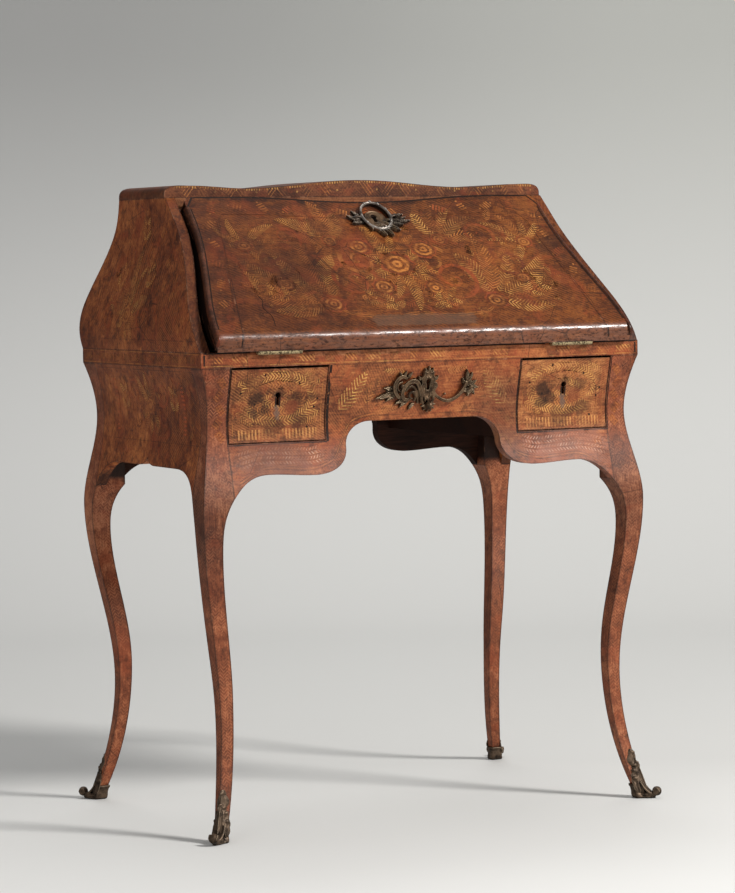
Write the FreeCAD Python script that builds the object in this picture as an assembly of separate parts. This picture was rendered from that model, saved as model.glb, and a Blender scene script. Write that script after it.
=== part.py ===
import FreeCAD, Part
import math
import os

V = FreeCAD.Vector

# Drop-front writing desk on four cabriole legs. Millimetres, +Z up, floor at z = 0.
# The front faces -Y and the origin lies on the floor midway between the feet.
# A reach is a distance outward from the origin, so a front reach of 220 lies at y = -220.

# Main sizes
bed_top_z = 725.0
side_bed = 378.3
front_bed = 220.0
back_bed = 231.5
foot_z = 10.0
bed_thick = 22.6
apron_high = 194.4
nest_high = 70.0
shelf_thick = 8.0
pigeonhole_high = 155.0
bed_bottom_z = bed_top_z - bed_thick
bracket_z = bed_bottom_z - apron_high
shelf_z = bed_top_z + nest_high
case_top_z = shelf_z + shelf_thick + pigeonhole_high

# Heights along the curved lines
side_ankle_z = 190.0
front_ankle_z = 235.0
back_ankle_z = 222.0
leg_in_ankle_z = 215.0
front_leg_in_ankle_z = 265.0
back_leg_in_ankle_z = 250.0
calf_drop = 68.0
knee_drop = 30.0
side_waist_drop = 84.4
front_waist_drop = 90.4
back_waist_drop = 84.4
flank_up = 75.0
bulge_up = 43.0
shoulder_drop = 38.0
calf_z = bracket_z - calf_drop
knee_z = bracket_z - knee_drop
side_waist_z = bed_bottom_z - side_waist_drop
front_waist_z = bed_bottom_z - front_waist_drop
back_waist_z = bed_bottom_z - back_waist_drop
flank_z = bed_top_z + flank_up
bulge_z = bed_top_z + bulge_up
shoulder_z = case_top_z - shoulder_drop

# How far each line stands in or out from the edge of the bed, seen from the front
side_foot_in = 4.3
side_ankle_in = 29.3
side_knee_out = 3.1
side_waist_in = 15.9
side_flank_in = 9.7
side_shoulder_in = 43.3
side_top_in = 45.1
side_foot = side_bed - side_foot_in
side_ankle = side_bed - side_ankle_in
side_knee = side_bed + side_knee_out
side_waist = side_bed - side_waist_in
side_flank = side_bed - side_flank_in
side_shoulder = side_bed - side_shoulder_in
side_top = side_bed - side_top_in

# The same seen from the side
front_foot_out = 18.0
front_ankle_in = 18.6
front_knee_out = 6.8
front_waist_in = 17.8
back_foot_out = 6.5
back_ankle_in = 34.1
back_knee_out = 1.0
back_waist_in = 14.7
back_bulge_out = 12.8
back_top_in = 53.5
front_foot = front_bed + front_foot_out
front_ankle = front_bed - front_ankle_in
front_knee = front_bed + front_knee_out
front_waist = front_bed - front_waist_in
back_foot = back_bed + back_foot_out
back_ankle = back_bed - back_ankle_in
back_knee = back_bed + back_knee_out
back_waist = back_bed - back_waist_in
back_bulge = back_bed + back_bulge_out
back_top = back_bed - back_top_in

# How fast those lines lean, as reach gained for each unit of height
side_foot_lean = -0.25
depth_foot_lean = -0.33
side_cove_lean = 0.38
depth_cove_lean = 0.22
side_case_lean = 0.12
flank_lean = -0.35
shoulder_lean = -0.07
back_case_lean = 0.55
leg_in_foot_lean = -0.34
leg_in_depth_lean = -0.4
bracket_lean = -0.8
depth_bracket_lean = -0.5

# Widths of the legs and stiles
foot_wide = 15.0
ankle_wide = 21.0
calf_wide = 31.4
stile_wide = 52.4
foot_deep = 13.0
front_ankle_deep = 22.9
front_calf_deep = 32.8
front_stile_deep = 45.8
back_ankle_deep = 21.9
back_calf_deep = 32.0
back_stile_deep = 45.5
leg_in_foot = side_foot - foot_wide
leg_in_ankle = side_ankle - ankle_wide
leg_in_calf = side_knee - calf_wide
stile_in = side_knee - stile_wide
front_leg_in_foot = front_foot - foot_deep
front_leg_in_ankle = front_ankle - front_ankle_deep
front_leg_in_calf = front_knee - front_calf_deep
front_stile_in = front_knee - front_stile_deep
back_leg_in_foot = back_foot - foot_deep
back_leg_in_ankle = back_ankle - back_ankle_deep
back_leg_in_calf = back_knee - back_calf_deep
back_stile_in = back_knee - back_stile_deep

# Boards
apron_thick = 18.0
side_thick = 16.0
back_thick = 14.0

# Lower edge of the front and back aprons, up from the leg brackets and in from the stiles
arch_up = 106.5
arch_flat_in = 237.0
arch_side_up = 69.0
arch_side_in = 195.0
lobe_up = 29.5
lobe_in = 139.0
lobe_rise_up = 33.0
lobe_rise_in = 61.0
bracket_angle = -51.0

# Lower edge of the side aprons, up from the leg brackets
cusp_up = 54.0
cusp_angle = -58.0
side_lobe_start = 38.0
side_lobe_end_in = 72.0
side_lobe_up = 41.0
side_bracket_angle = -64.0
flow_arm = 0.4

# Crest of the top board, up from the case and in from its ends
crest_rise = 26.0
crest_dip_rise = 14.0
crest_dip_in = 138.2
crest_end_rise = 18.5
crest_end_in = 45.2
crest_round_rise = 4.0
top_front_y = 3.0

# Sloping front edge of the case sides
slope_foot_in = 1.5
slope_mid_up = 55.0
slope_mid_in = 44.1
slope_head = 0.5
slope_foot_lean = -0.65
slope_mid_lean = -0.93
slope_head_lean = -1.1
slope_foot = front_bed - slope_foot_in
slope_mid = slope_foot - slope_mid_in
slope_mid_z = bed_top_z + slope_mid_up

# Lid, measured from its hinge line: along the slope and square to it
hinge_out = 6.0
hinge_drop = 0.4
lid_head_gap = 2.0
lid_head_drop = 16.5
lid_thick = 23.8
lid_dip = 14.0
lid_dip_in = 103.2
lid_corner = 14.0
lid_side_gap = 6.0
lid_foot_gap = 0.8
nose_low_out = 5.0
nose_high_out = 10.0
nose_round = 12.0
cleat_foot_in = 60.3
cleat_head_in = 61.2
hinge_reach = front_bed + hinge_out
hinge_z = bed_top_z - hinge_drop
nose_low = hinge_reach + nose_low_out
nose_high = hinge_reach + nose_high_out
lid_run = hinge_reach + top_front_y - lid_head_gap
lid_rise = case_top_z - lid_head_drop - hinge_z
lid_turn = math.atan2(lid_rise, lid_run)
lid_length = math.hypot(lid_rise, lid_run)

# Rail that the lid closes against
stop_gap = 0.8
rail_lap = 30.0
rail_thick = 12.0
rail_deep = 19.0

# Lid lock and its openwork escutcheon
lock_x = -1.0
lid_key_drop = 51.0
lid_lock_wide = 70.0
lid_lock_high = 44.0
lid_lock_deep = 9.0
key_plate_radius = 13.0
scutcheon_thick = 2.6
rim_offset = 2.0
rim_drop = 2.0
rim_half_wide = 25.0
rim_half_high = 30.0
rim_band = 4.0
rim_thick = 6.0
side_leaf_drop = 6.0
left_leaf_wide = 15.0
right_leaf_wide = 18.0
side_leaf_high = 11.0
low_leaf_drop = 26.0
low_leaf_high = 17.0
low_leaf_wide = 16.0
leaf_lobes = 5
leaf_lobe_depth = 0.16
lid_key_along = lid_length - lid_key_drop
rim_x = lock_x + rim_offset
rim_along = lid_key_along - rim_drop

# Keyholes
key_hole = 3.2
key_slot_wide = 3.0
key_slot_long = 11.0

# Lid hinges
hinge_in = 125.6
hinge_long = 72.2
knuckle_radius = 4.4
hinge_pin = 2.0
flap_thick = 2.0
flap_deep = 30.0
pin_fit = 0.06
knuckle_gap = 0.4
knuckle_room = 0.8
knuckle_share = 0.5
hinge_middle = side_bed - hinge_in

# Side drawers in the frieze
drawer_wide = 162.0
drawer_high = 114.4
drawer_gap = 1.4
drawer_top_gap = 3.3
run_gap = 0.3
drawer_front_thick = 19.0
drawer_wall = 10.0
drawer_floor = 6.0
drawer_floor_up = 4.0
drawer_back_gap = 37.0
drawer_drop = 6.0
drawer_key_drop = 40.0
drawer_key_share = 1.35
drawer_lock_wide = 52.0
drawer_lock_high = 40.0
drawer_lock_deep = 8.0
floor_board = 10.0
partition = 12.0
drawer_in = stile_in - drawer_wide
drawer_low_z = bed_bottom_z - drawer_high
drawer_end = back_stile_in - drawer_back_gap
partition_x = drawer_in - partition

# Well in the middle of the writing bed, with its sliding cover
well_floor = 8.0
well_deep = 82.4
well_margin = 27.0
well_front_in = 108.0
well_long = 156.0
cover_thick = 8.0
cover_lap = 8.0
cover_travel = 140.0
cover_grip_long = 60.0
cover_grip_radius = 9.0
cover_grip_in = 22.0
well_floor_z = bed_bottom_z - well_deep
well_half = partition_x - well_margin
well_front = well_front_in - front_bed
well_back = well_front + well_long

# Fittings inside the case
shelf_front = 45.0
upright = 8.0
upright_x = 142.0
upright_front = 52.0
pigeon_x = 110.0
pigeon_front = 72.0
nest_gap = 1.2
nest_side_gap = 2.6
nest_back_gap = 9.5
nest_front_thick = 11.0
nest_wall = 6.0
knob_radius = 7.0
knob_neck = 3.0
knob_long = 14.0
nest_outer = side_flank - side_thick - nest_side_gap
nest_end = back_bed - back_thick - nest_back_gap

# Centre mount on the frieze, with its scrolls given across and up from its middle
mount_thick = 4.0
mount_x = 3.0
mount_drop = 40.4
mount_half_wide = 15.0
mount_half_high = 27.0
mount_lobes = 6
mount_lobe_depth = 0.12
mount_key_up = 9.0
pearl_radius = 7.5
pearl_drop = 30.0
scroll_wide = 8.0
arch_scroll = ((-9.0, -22.0), (-30.0, 10.0), (-47.0, -17.0))
cup_scroll = ((-25.0, 6.0), (-49.0, -18.0), (-67.0, 0.0))
tip_scroll = ((-55.0, -10.0), (-71.0, -2.0), (-89.0, -14.0))
swag_scroll = ((7.0, 0.0), (35.0, -25.0), (69.0, 2.0))
plume_scroll = ((63.0, -6.0), (76.0, 10.0), (67.0, 24.0))
flower_out = 74.0
flower_drop = 1.0
flower_radius = 12.0
flower_lobes = 6
flower_depth = 0.2
mount_z = bed_bottom_z - mount_drop
mount_key_z = mount_z + mount_key_up

# Cast shoes
cup_wall = 2.6
cup_top_z = 20.0
shoe_leaf_thick = 6.5
shoe_leaf_half = 13.0
shoe_leaf_belly = 15.6
shoe_leaf_belly_up = 20.0
shoe_leaf_root_z = 12.0
shoe_leaf_top_z = 73.0
toe_radius = 7.2
toe_half_long = 7.5
toe_out = 16.0
toe_low_z = 5.0
tongue_half = 6.5
tongue_top_z = 40.0
tongue_in = 12.0

outline_steps = 40


# Lines, strips and blocks

def reach_at(stations, z):
    """Reach of a station line at one height."""
    for (z0, r0, s0), (z1, r1, s1) in zip(stations, stations[1:]):
        if z <= z1:
            break
    t = (z - z0) / (z1 - z0)
    rise = t * t * (3 - 2 * t)
    tail = (z1 - z0) * t * (1 - t)
    return r0 + (r1 - r0) * rise + tail * ((1 - t) * s0 - t * s1)


def shifted(stations, step):
    return [(z, r + step, s) for z, r, s in stations]


def upright_line(reach, z0, z1):
    return [(z0, reach, 0.0), (z1, reach, 0.0)]


def bezier(poles):
    curve = Part.BezierCurve()
    curve.setPoles(poles)
    return curve.toShape()


def station_edges(stations, place):
    """Cubic edges through stations of height, reach and lean."""
    edges = []
    for (z0, r0, s0), (z1, r1, s1) in zip(stations, stations[1:]):
        third = (z1 - z0) / 3
        edges.append(bezier([
            place(r0, z0),
            place(r0 + s0 * third, z0 + third),
            place(r1 - s1 * third, z1 - third),
            place(r1, z1),
        ]))
    return edges


def flow_edges(knots, place):
    """Smooth edges through knots of position and heading in degrees."""
    edges = []
    for (a0, b0, h0), (a1, b1, h1) in zip(knots, knots[1:]):
        arm = flow_arm * math.hypot(a1 - a0, b1 - b0)
        out = math.radians(h0)
        into = math.radians(h1)
        edges.append(bezier([
            place(a0, b0),
            place(a0 + arm * math.cos(out), b0 + arm * math.sin(out)),
            place(a1 - arm * math.cos(into), b1 - arm * math.sin(into)),
            place(a1, b1),
        ]))
    return edges


def line_edges(points):
    pairs = zip(points, points[1:])
    return [Part.makeLine(a, b) for a, b in pairs if a.distanceToPoint(b) > 1e-6]


def block(edges, push):
    wire = Part.Wire(Part.__sortEdges__(edges))
    return Part.Face(wire).extrude(push)


def box(x0, x1, y0, y1, z0, z1):
    return Part.makeBox(x1 - x0, y1 - y0, z1 - z0, V(x0, y0, z0))


def strip(outer, inner, place, push, base_z=None):
    """Board between two station lines, pushed out straight."""
    low = outer[0][0] if base_z is None else base_z
    top = outer[-1][0]
    edges = station_edges(outer, place) + station_edges(inner, place)
    edges += line_edges([
        place(outer[0][1], outer[0][0]), place(outer[0][1], low),
        place(inner[0][1], low), place(inner[0][1], inner[0][0]),
    ])
    edges += line_edges([
        place(inner[-1][1], inner[-1][0]), place(inner[-1][1], top),
        place(outer[-1][1], top),
    ])
    return block(edges, push)


def side_strip(outer, inner, sign, y0, y1, base_z=None):
    return strip(outer, inner, lambda r, z: V(sign * r, y0, z), V(0, y1 - y0, 0), base_z)


def depth_strip(outer, inner, sign, x0, x1, base_z=None):
    return strip(outer, inner, lambda r, z: V(x0, sign * r, z), V(x1 - x0, 0, 0), base_z)


def fused(shapes):
    return shapes[0].fuse(list(shapes[1:])).removeSplitter()


# Station lines of the whole desk

side_low = [
    (foot_z, side_foot, side_foot_lean), (side_ankle_z, side_ankle, 0.0), (knee_z, side_knee, 0.0),
    (side_waist_z, side_waist, 0.0), (bed_bottom_z, side_bed, side_cove_lean),
]
front_low = [
    (foot_z, front_foot, depth_foot_lean), (front_ankle_z, front_ankle, 0.0), (knee_z, front_knee, 0.0),
    (front_waist_z, front_waist, 0.0), (bed_bottom_z, front_bed, depth_cove_lean),
]
back_low = [
    (foot_z, back_foot, depth_foot_lean), (back_ankle_z, back_ankle, 0.0), (knee_z, back_knee, 0.0),
    (back_waist_z, back_waist, 0.0), (bed_bottom_z, back_bed, depth_cove_lean),
]
side_case = [
    (bed_top_z, side_bed, side_case_lean), (flank_z, side_flank, flank_lean),
    (shoulder_z, side_shoulder, shoulder_lean), (case_top_z, side_top, shoulder_lean),
]
back_case = [
    (bed_top_z, back_bed, back_case_lean), (bulge_z, back_bulge, 0.0), (case_top_z, back_top, 0.0),
]
slope_line = [
    (bed_top_z, slope_foot, slope_foot_lean), (slope_mid_z, slope_mid, slope_mid_lean),
    (case_top_z, slope_head, slope_head_lean),
]
leg_in = [
    (foot_z, leg_in_foot, leg_in_foot_lean), (leg_in_ankle_z, leg_in_ankle, 0.0),
    (calf_z, leg_in_calf, 0.0), (bracket_z, stile_in, bracket_lean),
]
front_leg_in = [
    (foot_z, front_leg_in_foot, leg_in_depth_lean), (front_leg_in_ankle_z, front_leg_in_ankle, 0.0),
    (calf_z, front_leg_in_calf, 0.0), (bracket_z, front_stile_in, depth_bracket_lean),
]
back_leg_in = [
    (foot_z, back_leg_in_foot, leg_in_depth_lean), (back_leg_in_ankle_z, back_leg_in_ankle, 0.0),
    (calf_z, back_leg_in_calf, 0.0), (bracket_z, back_stile_in, depth_bracket_lean),
]

half_span = side_knee + back_knee
lid_through = 3 * lid_thick
sides = {"left": -1, "right": 1}
rows = {"front": -1, "back": 1}


def hollow_below():
    """Space inside the four aprons."""
    across = shifted(side_low, -apron_thick)
    front = shifted(front_low, -apron_thick)
    behind = [(z, -r, -s) for z, r, s in shifted(back_low, -apron_thick)]
    mirrored = [(z, -r, -s) for z, r, s in across]
    wide = side_strip(across, mirrored, 1, -half_span, half_span)
    deep = depth_strip(front, behind, -1, -half_span, half_span)
    return wide.common(deep)


def hollow_above():
    """Space inside the case sides and back, open to the front."""
    across = shifted(side_case, -side_thick)
    mirrored = [(z, -r, -s) for z, r, s in across]
    behind = shifted(back_case, -back_thick)
    open_front = upright_line(-front_bed, bed_top_z, case_top_z)
    wide = side_strip(across, mirrored, 1, -half_span, half_span)
    deep = depth_strip(behind, open_front, 1, -half_span, half_span)
    return wide.common(deep)


# Stand

def leg_block(sign, row, grow_out=0.0, grow_in=0.0, base_z=None):
    """Leg sawn from two faces, with its outer and inner faces grown for the shoe."""
    outer, inner = (front_low, front_leg_in) if row == "front" else (back_low, back_leg_in)
    faces = shifted(side_low, grow_out), shifted(leg_in, -grow_in)
    wide = side_strip(*faces, sign, -half_span, half_span, base_z)
    faces = shifted(outer, grow_out), shifted(inner, -grow_in)
    deep = depth_strip(*faces, rows[row], -half_span, half_span, base_z)
    return wide.common(deep)


def shoe(sign, row, leg):
    """Cast shoe: a cup round the foot, a leaf up the outer corner and a rolled toe."""
    row_sign = rows[row]
    depth_foot = front_foot if row == "front" else back_foot
    outward = V(sign, row_sign, 0).normalize()
    across = V(-row_sign, sign, 0).normalize()
    up = V(0, 0, 1)
    corner = V(sign * side_foot, row_sign * depth_foot, 0)
    cup = leg_block(sign, row, cup_wall, cup_wall, 0.0)
    cup = cup.common(box(-half_span, half_span, -half_span, half_span, 0, cup_top_z))
    leaf = leg_block(sign, row, shoe_leaf_thick).common(shoe_leaf_prism(corner, outward, across))
    toe = corner + outward * toe_out + up * (toe_low_z + toe_radius)
    roll = Part.makeCylinder(toe_radius, 2 * toe_half_long, toe - across * toe_half_long, across)
    heel = corner - outward * tongue_in
    brow = toe + up * (toe_radius / 2)
    start = heel - across * tongue_half
    side = [
        bezier([start + up * tongue_top_z, corner - across * tongue_half + up * (tongue_top_z / 2),
                brow - outward * toe_radius - across * tongue_half, brow - across * tongue_half]),
        Part.makeLine(brow - across * tongue_half, toe - up * (toe_radius / 2) - across * tongue_half),
        Part.makeLine(toe - up * (toe_radius / 2) - across * tongue_half, start),
        Part.makeLine(start, start + up * tongue_top_z),
    ]
    tongue = block(side, across * (2 * tongue_half))
    return fused([cup, leaf, roll, tongue]).cut(leg)


def shoe_leaf_prism(corner, outward, across):
    """Pointed leaf seen along the diagonal, pushed out from the middle of the leg."""
    back = corner - outward * (2 * shoe_leaf_half + tongue_in)
    root = back + V(0, 0, shoe_leaf_root_z)
    tip = back + V(0, 0, shoe_leaf_top_z)
    half = across * shoe_leaf_half
    belly = across * shoe_leaf_belly
    up = V(0, 0, shoe_leaf_belly_up)
    outline = [
        bezier([root - half, root - belly + up, tip - half - up, tip]),
        bezier([tip, tip + half - up, root + belly + up, root + half]),
        Part.makeLine(root + half, root - half),
    ]
    return block(outline, outward * (4 * shoe_leaf_half + tongue_in))


def apron_prism(knots, place, top_z, push):
    """Everything above a lower edge that is the same to left and right."""
    right = flow_edges(knots, lambda a, b: place(a, b))
    left = flow_edges(knots, lambda a, b: place(-a, b))
    end, end_z = knots[-1][0], knots[-1][1]
    frame = line_edges([place(end, end_z), place(end, top_z), place(-end, top_z), place(-end, end_z)])
    return block(right + left + frame, push)


def long_edge():
    return [
        (0.0, bracket_z + arch_up, 0.0), (stile_in - arch_flat_in, bracket_z + arch_up, 0.0),
        (stile_in - arch_side_in, bracket_z + arch_side_up, -90.0),
        (stile_in - lobe_in, bracket_z + lobe_up, 0.0),
        (stile_in - lobe_rise_in, bracket_z + lobe_rise_up, 0.0), (stile_in, bracket_z, bracket_angle),
    ]


def short_edge(half):
    return [
        (0.0, bracket_z + cusp_up, cusp_angle), (side_lobe_start, bracket_z + side_lobe_up, 0.0),
        (half - side_lobe_end_in, bracket_z + side_lobe_up, 0.0), (half, bracket_z, side_bracket_angle),
    ]


def front_apron():
    board = depth_strip(front_low, shifted(front_low, -apron_thick), -1, -stile_in, stile_in)
    edge = apron_prism(long_edge(), lambda a, b: V(a, -half_span, b), bed_bottom_z, V(0, half_span, 0))
    board = board.common(edge)
    for sign in sides.values():
        x0, x1 = sorted((sign * drawer_in, sign * stile_in))
        board = board.cut(box(x0, x1, -half_span, 0, drawer_low_z, bed_bottom_z))
    return board.cut(keyhole(V(mount_x, 0, mount_key_z), V(0, -half_span, 0), V(0, 0, -1)))


def back_apron():
    board = depth_strip(back_low, shifted(back_low, -apron_thick), 1, -stile_in, stile_in)
    edge = apron_prism(long_edge(), lambda a, b: V(a, 0, b), bed_bottom_z, V(0, half_span, 0))
    return board.common(edge)


def side_apron(sign):
    middle = (back_stile_in - front_stile_in) / 2
    half = (back_stile_in + front_stile_in) / 2
    board = side_strip(side_low, shifted(side_low, -apron_thick), sign, -front_stile_in, back_stile_in)
    edge = apron_prism(short_edge(half), lambda a, b: V(0, middle + a, b), bed_bottom_z,
                       V(sign * half_span, 0, 0))
    return board.common(edge)


# Keyholes

def keyhole(centre, through, down, share=1.0):
    """Round hole with a slot below it, cut straight through from a point and scaled by a share."""
    along = V(through).normalize()
    across = along.cross(down)
    round_part = Part.makeCylinder(key_hole * share, through.Length, centre, along)
    half = across * (key_slot_wide * share / 2)
    drop = down * (key_slot_long * share)
    corners = [centre + half, centre + half + drop, centre - half + drop, centre - half, centre + half]
    slot = Part.Face(Part.makePolygon(corners)).extrude(through)
    return round_part.fuse(slot)


# Case

def writing_bed(leaves):
    bed = box(-side_bed, side_bed, -front_bed, back_bed, bed_bottom_z, bed_top_z)
    recess = box(-well_half - cover_lap, well_half + cover_lap, well_front - cover_lap,
                 well_back + cover_lap + cover_travel, bed_top_z - cover_thick - run_gap, bed_top_z)
    hole = box(-well_half, well_half, well_front, well_back, bed_bottom_z, bed_top_z)
    return bed.cut(recess).cut(hole).cut(leaves)


def case_side(sign):
    board = side_strip(side_case, shifted(side_case, -side_thick), sign, -half_span, half_span)
    behind = [(z, -r, -s) for z, r, s in back_case]
    outline = depth_strip(slope_line, behind, -1, -half_span, half_span)
    return board.common(outline)


def case_back():
    board = depth_strip(back_case, shifted(back_case, -back_thick), 1, -half_span, half_span)
    inside = shifted(side_case, -side_thick)
    mirrored = [(z, -r, -s) for z, r, s in inside]
    return board.common(side_strip(inside, mirrored, 1, 0, half_span))


def top_board():
    place = lambda a, b: V(a, top_front_y, b)
    mirror = lambda a, b: V(-a, top_front_y, b)
    crest_round_z = case_top_z + crest_round_rise
    knots = [
        (0.0, case_top_z + crest_rise, 0.0), (side_top - crest_dip_in, case_top_z + crest_dip_rise, 0.0),
        (side_top - crest_end_in, case_top_z + crest_end_rise, 0.0), (side_top, crest_round_z, -90.0),
    ]
    frame = line_edges([place(side_top, crest_round_z), place(side_top, case_top_z),
                        place(-side_top, case_top_z), place(-side_top, crest_round_z)])
    edges = flow_edges(knots, place) + flow_edges(knots, mirror) + frame
    return block(edges, V(0, back_top - top_front_y, 0))


def stop_rail(inside):
    """Rail under the top board, with a tongue lapping behind the lid's upper edge."""
    square_front = -stop_gap
    square_back = -stop_gap - rail_thick
    lap = lid_length - rail_lap
    rail_back_y = top_front_y + rail_deep
    points = [
        (top_front_y, case_top_z), lid_at_y(top_front_y, square_front), lid_point(lap, square_front),
        lid_point(lap, square_back), lid_at_y(rail_back_y, square_back), (rail_back_y, case_top_z),
    ]
    corners = [V(-half_span, y, z) for y, z in points]
    return Part.Face(Part.makePolygon(corners + corners[:1])).extrude(V(2 * half_span, 0, 0)).common(inside)


# Lid

def lid_place(shape):
    """Put a piece drawn flat on the lid, with the hinge line as its X axis, into place."""
    shape = shape.copy()
    shape.rotate(V(0, 0, 0), V(1, 0, 0), math.degrees(lid_turn))
    shape.translate(V(0, -hinge_reach, hinge_z))
    return shape


def lid_flat(reach, z):
    """Along and square to the lid, for a point given by front reach and height."""
    y = hinge_reach - reach
    up = z - hinge_z
    along = y * math.cos(lid_turn) + up * math.sin(lid_turn)
    return (along, up * math.cos(lid_turn) - y * math.sin(lid_turn))


def lid_point(along, square):
    """World y and z of a point given along and square to the lid."""
    y = -hinge_reach + along * math.cos(lid_turn) - square * math.sin(lid_turn)
    return (y, hinge_z + along * math.sin(lid_turn) + square * math.cos(lid_turn))


def lid_at_y(y, square):
    """Point on a plane square to the lid at one world y."""
    along = (y + hinge_reach + square * math.sin(lid_turn)) / math.cos(lid_turn)
    return lid_point(along, square)


def lid_slab():
    low_z = bed_top_z + lid_foot_gap
    heel = (low_z - hinge_z) / math.sin(lid_turn)
    nose = lid_flat(nose_low, low_z)
    brow_reach_fall = (nose_high - hinge_reach) * math.sin(lid_turn)
    brow_z = hinge_z + (lid_thick - brow_reach_fall) / math.cos(lid_turn)
    brow = lid_flat(nose_high, brow_z)
    flat = lambda a, b: V(-side_bed, a, b)
    before = V(0, nose[0] - brow[0], nose[1] - brow[1]).normalize() * nose_round
    points = [flat(brow[0] + nose_round, lid_thick), flat(lid_length, lid_thick), flat(lid_length, 0.0),
              flat(heel, 0.0), flat(nose[0], nose[1]), flat(*brow) + before]
    crown = bezier([points[-1], flat(*brow), points[0]])
    profile = block(line_edges(points) + [crown], V(2 * side_bed, 0, 0))
    knots = [
        (0.0, lid_length - lid_dip, 0.0), (side_top - lid_dip_in, lid_length, 0.0),
        (lid_top_half() - lid_corner, lid_length, 0.0), (lid_top_half(), lid_length - lid_corner, -90.0),
    ]
    low = -lid_thick
    far = lid_length - lid_corner
    ends = [V(lid_top_half(), far, low), V(side_bed, far, low), V(side_bed, low, low),
            V(-side_bed, low, low), V(-side_bed, far, low), V(-lid_top_half(), far, low)]
    outline = flow_edges(knots, lambda a, b: V(a, b, low)) + flow_edges(knots, lambda a, b: V(-a, b, low))
    outline = block(outline + line_edges(ends), V(0, 0, lid_through))
    inside = shifted(side_case, -side_thick - lid_side_gap)
    inside = inside + [(case_top_z + lid_thick, inside[-1][1], 0.0)]
    mirrored = [(z, -r, -s) for z, r, s in inside]
    between = side_strip(inside, mirrored, 1, -half_span, half_span)
    return lid_place(profile.common(outline)).common(between)


def lid_top_half():
    return side_top - side_thick - lid_side_gap


def lid_pieces(slab, cuts):
    """Panel and its two clamped ends, split along the joint lines."""
    pieces = {}
    for name, sign in sides.items():
        foot, head = sign * (side_bed - cleat_foot_in), sign * (side_top - cleat_head_in)
        points = [V(foot, -lid_thick, -lid_thick), V(head, lid_length, -lid_thick),
                  V(sign * side_bed, lid_length, -lid_thick), V(sign * side_bed, -lid_thick, -lid_thick)]
        wedge = Part.Face(Part.makePolygon(points + points[:1])).extrude(V(0, 0, lid_through))
        wedge = lid_place(wedge)
        pieces["lid_%s_clamp" % name] = slab.common(wedge).cut(cuts)
        cuts = cuts.fuse(wedge)
    pieces["lid_panel"] = slab.cut(cuts)
    return pieces


def lobed_outline(centre, first, second, half_a, half_b, lobes, depth):
    """Closed lobed outline in the plane of two directions."""
    points = []
    for step in range(outline_steps):
        turn = 2 * math.pi * step / outline_steps
        swell = 1 + depth * math.cos(lobes * turn)
        points.append(centre + first * (half_a * swell * math.cos(turn))
                      + second * (half_b * swell * math.sin(turn)))
    curve = Part.BSplineCurve()
    curve.interpolate(points, True)
    return curve.toShape()


def lid_key():
    return lid_place(keyhole(V(lock_x, lid_key_along, lid_lock_deep), V(0, 0, lid_thick), V(0, -1, 0)))


def lid_lock():
    low = lid_key_along - lid_lock_high / 2
    body = Part.makeBox(lid_lock_wide, lid_lock_high, lid_lock_deep, V(lock_x - lid_lock_wide / 2, low, 0))
    return lid_place(body)


def scutcheon():
    """Openwork escutcheon: key plate, raised oval rim and three leaf sprays."""
    along = V(0, 1, 0)
    across = V(1, 0, 0)

    def spray(x, y, half_along, half_across):
        outline = lobed_outline(V(x, y, lid_thick), along, across, half_along, half_across,
                                leaf_lobes, leaf_lobe_depth)
        return Part.Face(Part.Wire(outline)).extrude(V(0, 0, scutcheon_thick))

    def oval(half_across, half_along):
        ellipse = Part.Ellipse(V(rim_x, rim_along + half_along, lid_thick),
                               V(rim_x + half_across, rim_along, lid_thick), V(rim_x, rim_along, lid_thick))
        return Part.Face(Part.Wire(ellipse.toShape())).extrude(V(0, 0, rim_thick))

    plate = Part.makeCylinder(key_plate_radius, scutcheon_thick, V(lock_x, lid_key_along, lid_thick))
    rim = oval(rim_half_wide, rim_half_high).cut(oval(rim_half_wide - rim_band, rim_half_high - rim_band))
    root = rim_half_wide - rim_band
    side_leaf_along = lid_key_along - side_leaf_drop
    sprays = [
        spray(rim_x - root - left_leaf_wide, side_leaf_along, side_leaf_high, left_leaf_wide),
        spray(rim_x + root + right_leaf_wide, side_leaf_along, side_leaf_high, right_leaf_wide),
        spray(rim_x, lid_key_along - low_leaf_drop, low_leaf_high, low_leaf_wide),
    ]
    return lid_place(fused([plate, rim] + sprays)).cut(lid_key())


# Hinges

def knuckles(first, last):
    return Part.makeCylinder(knuckle_radius, last - first, V(first, -hinge_reach, hinge_z), V(1, 0, 0))


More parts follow.
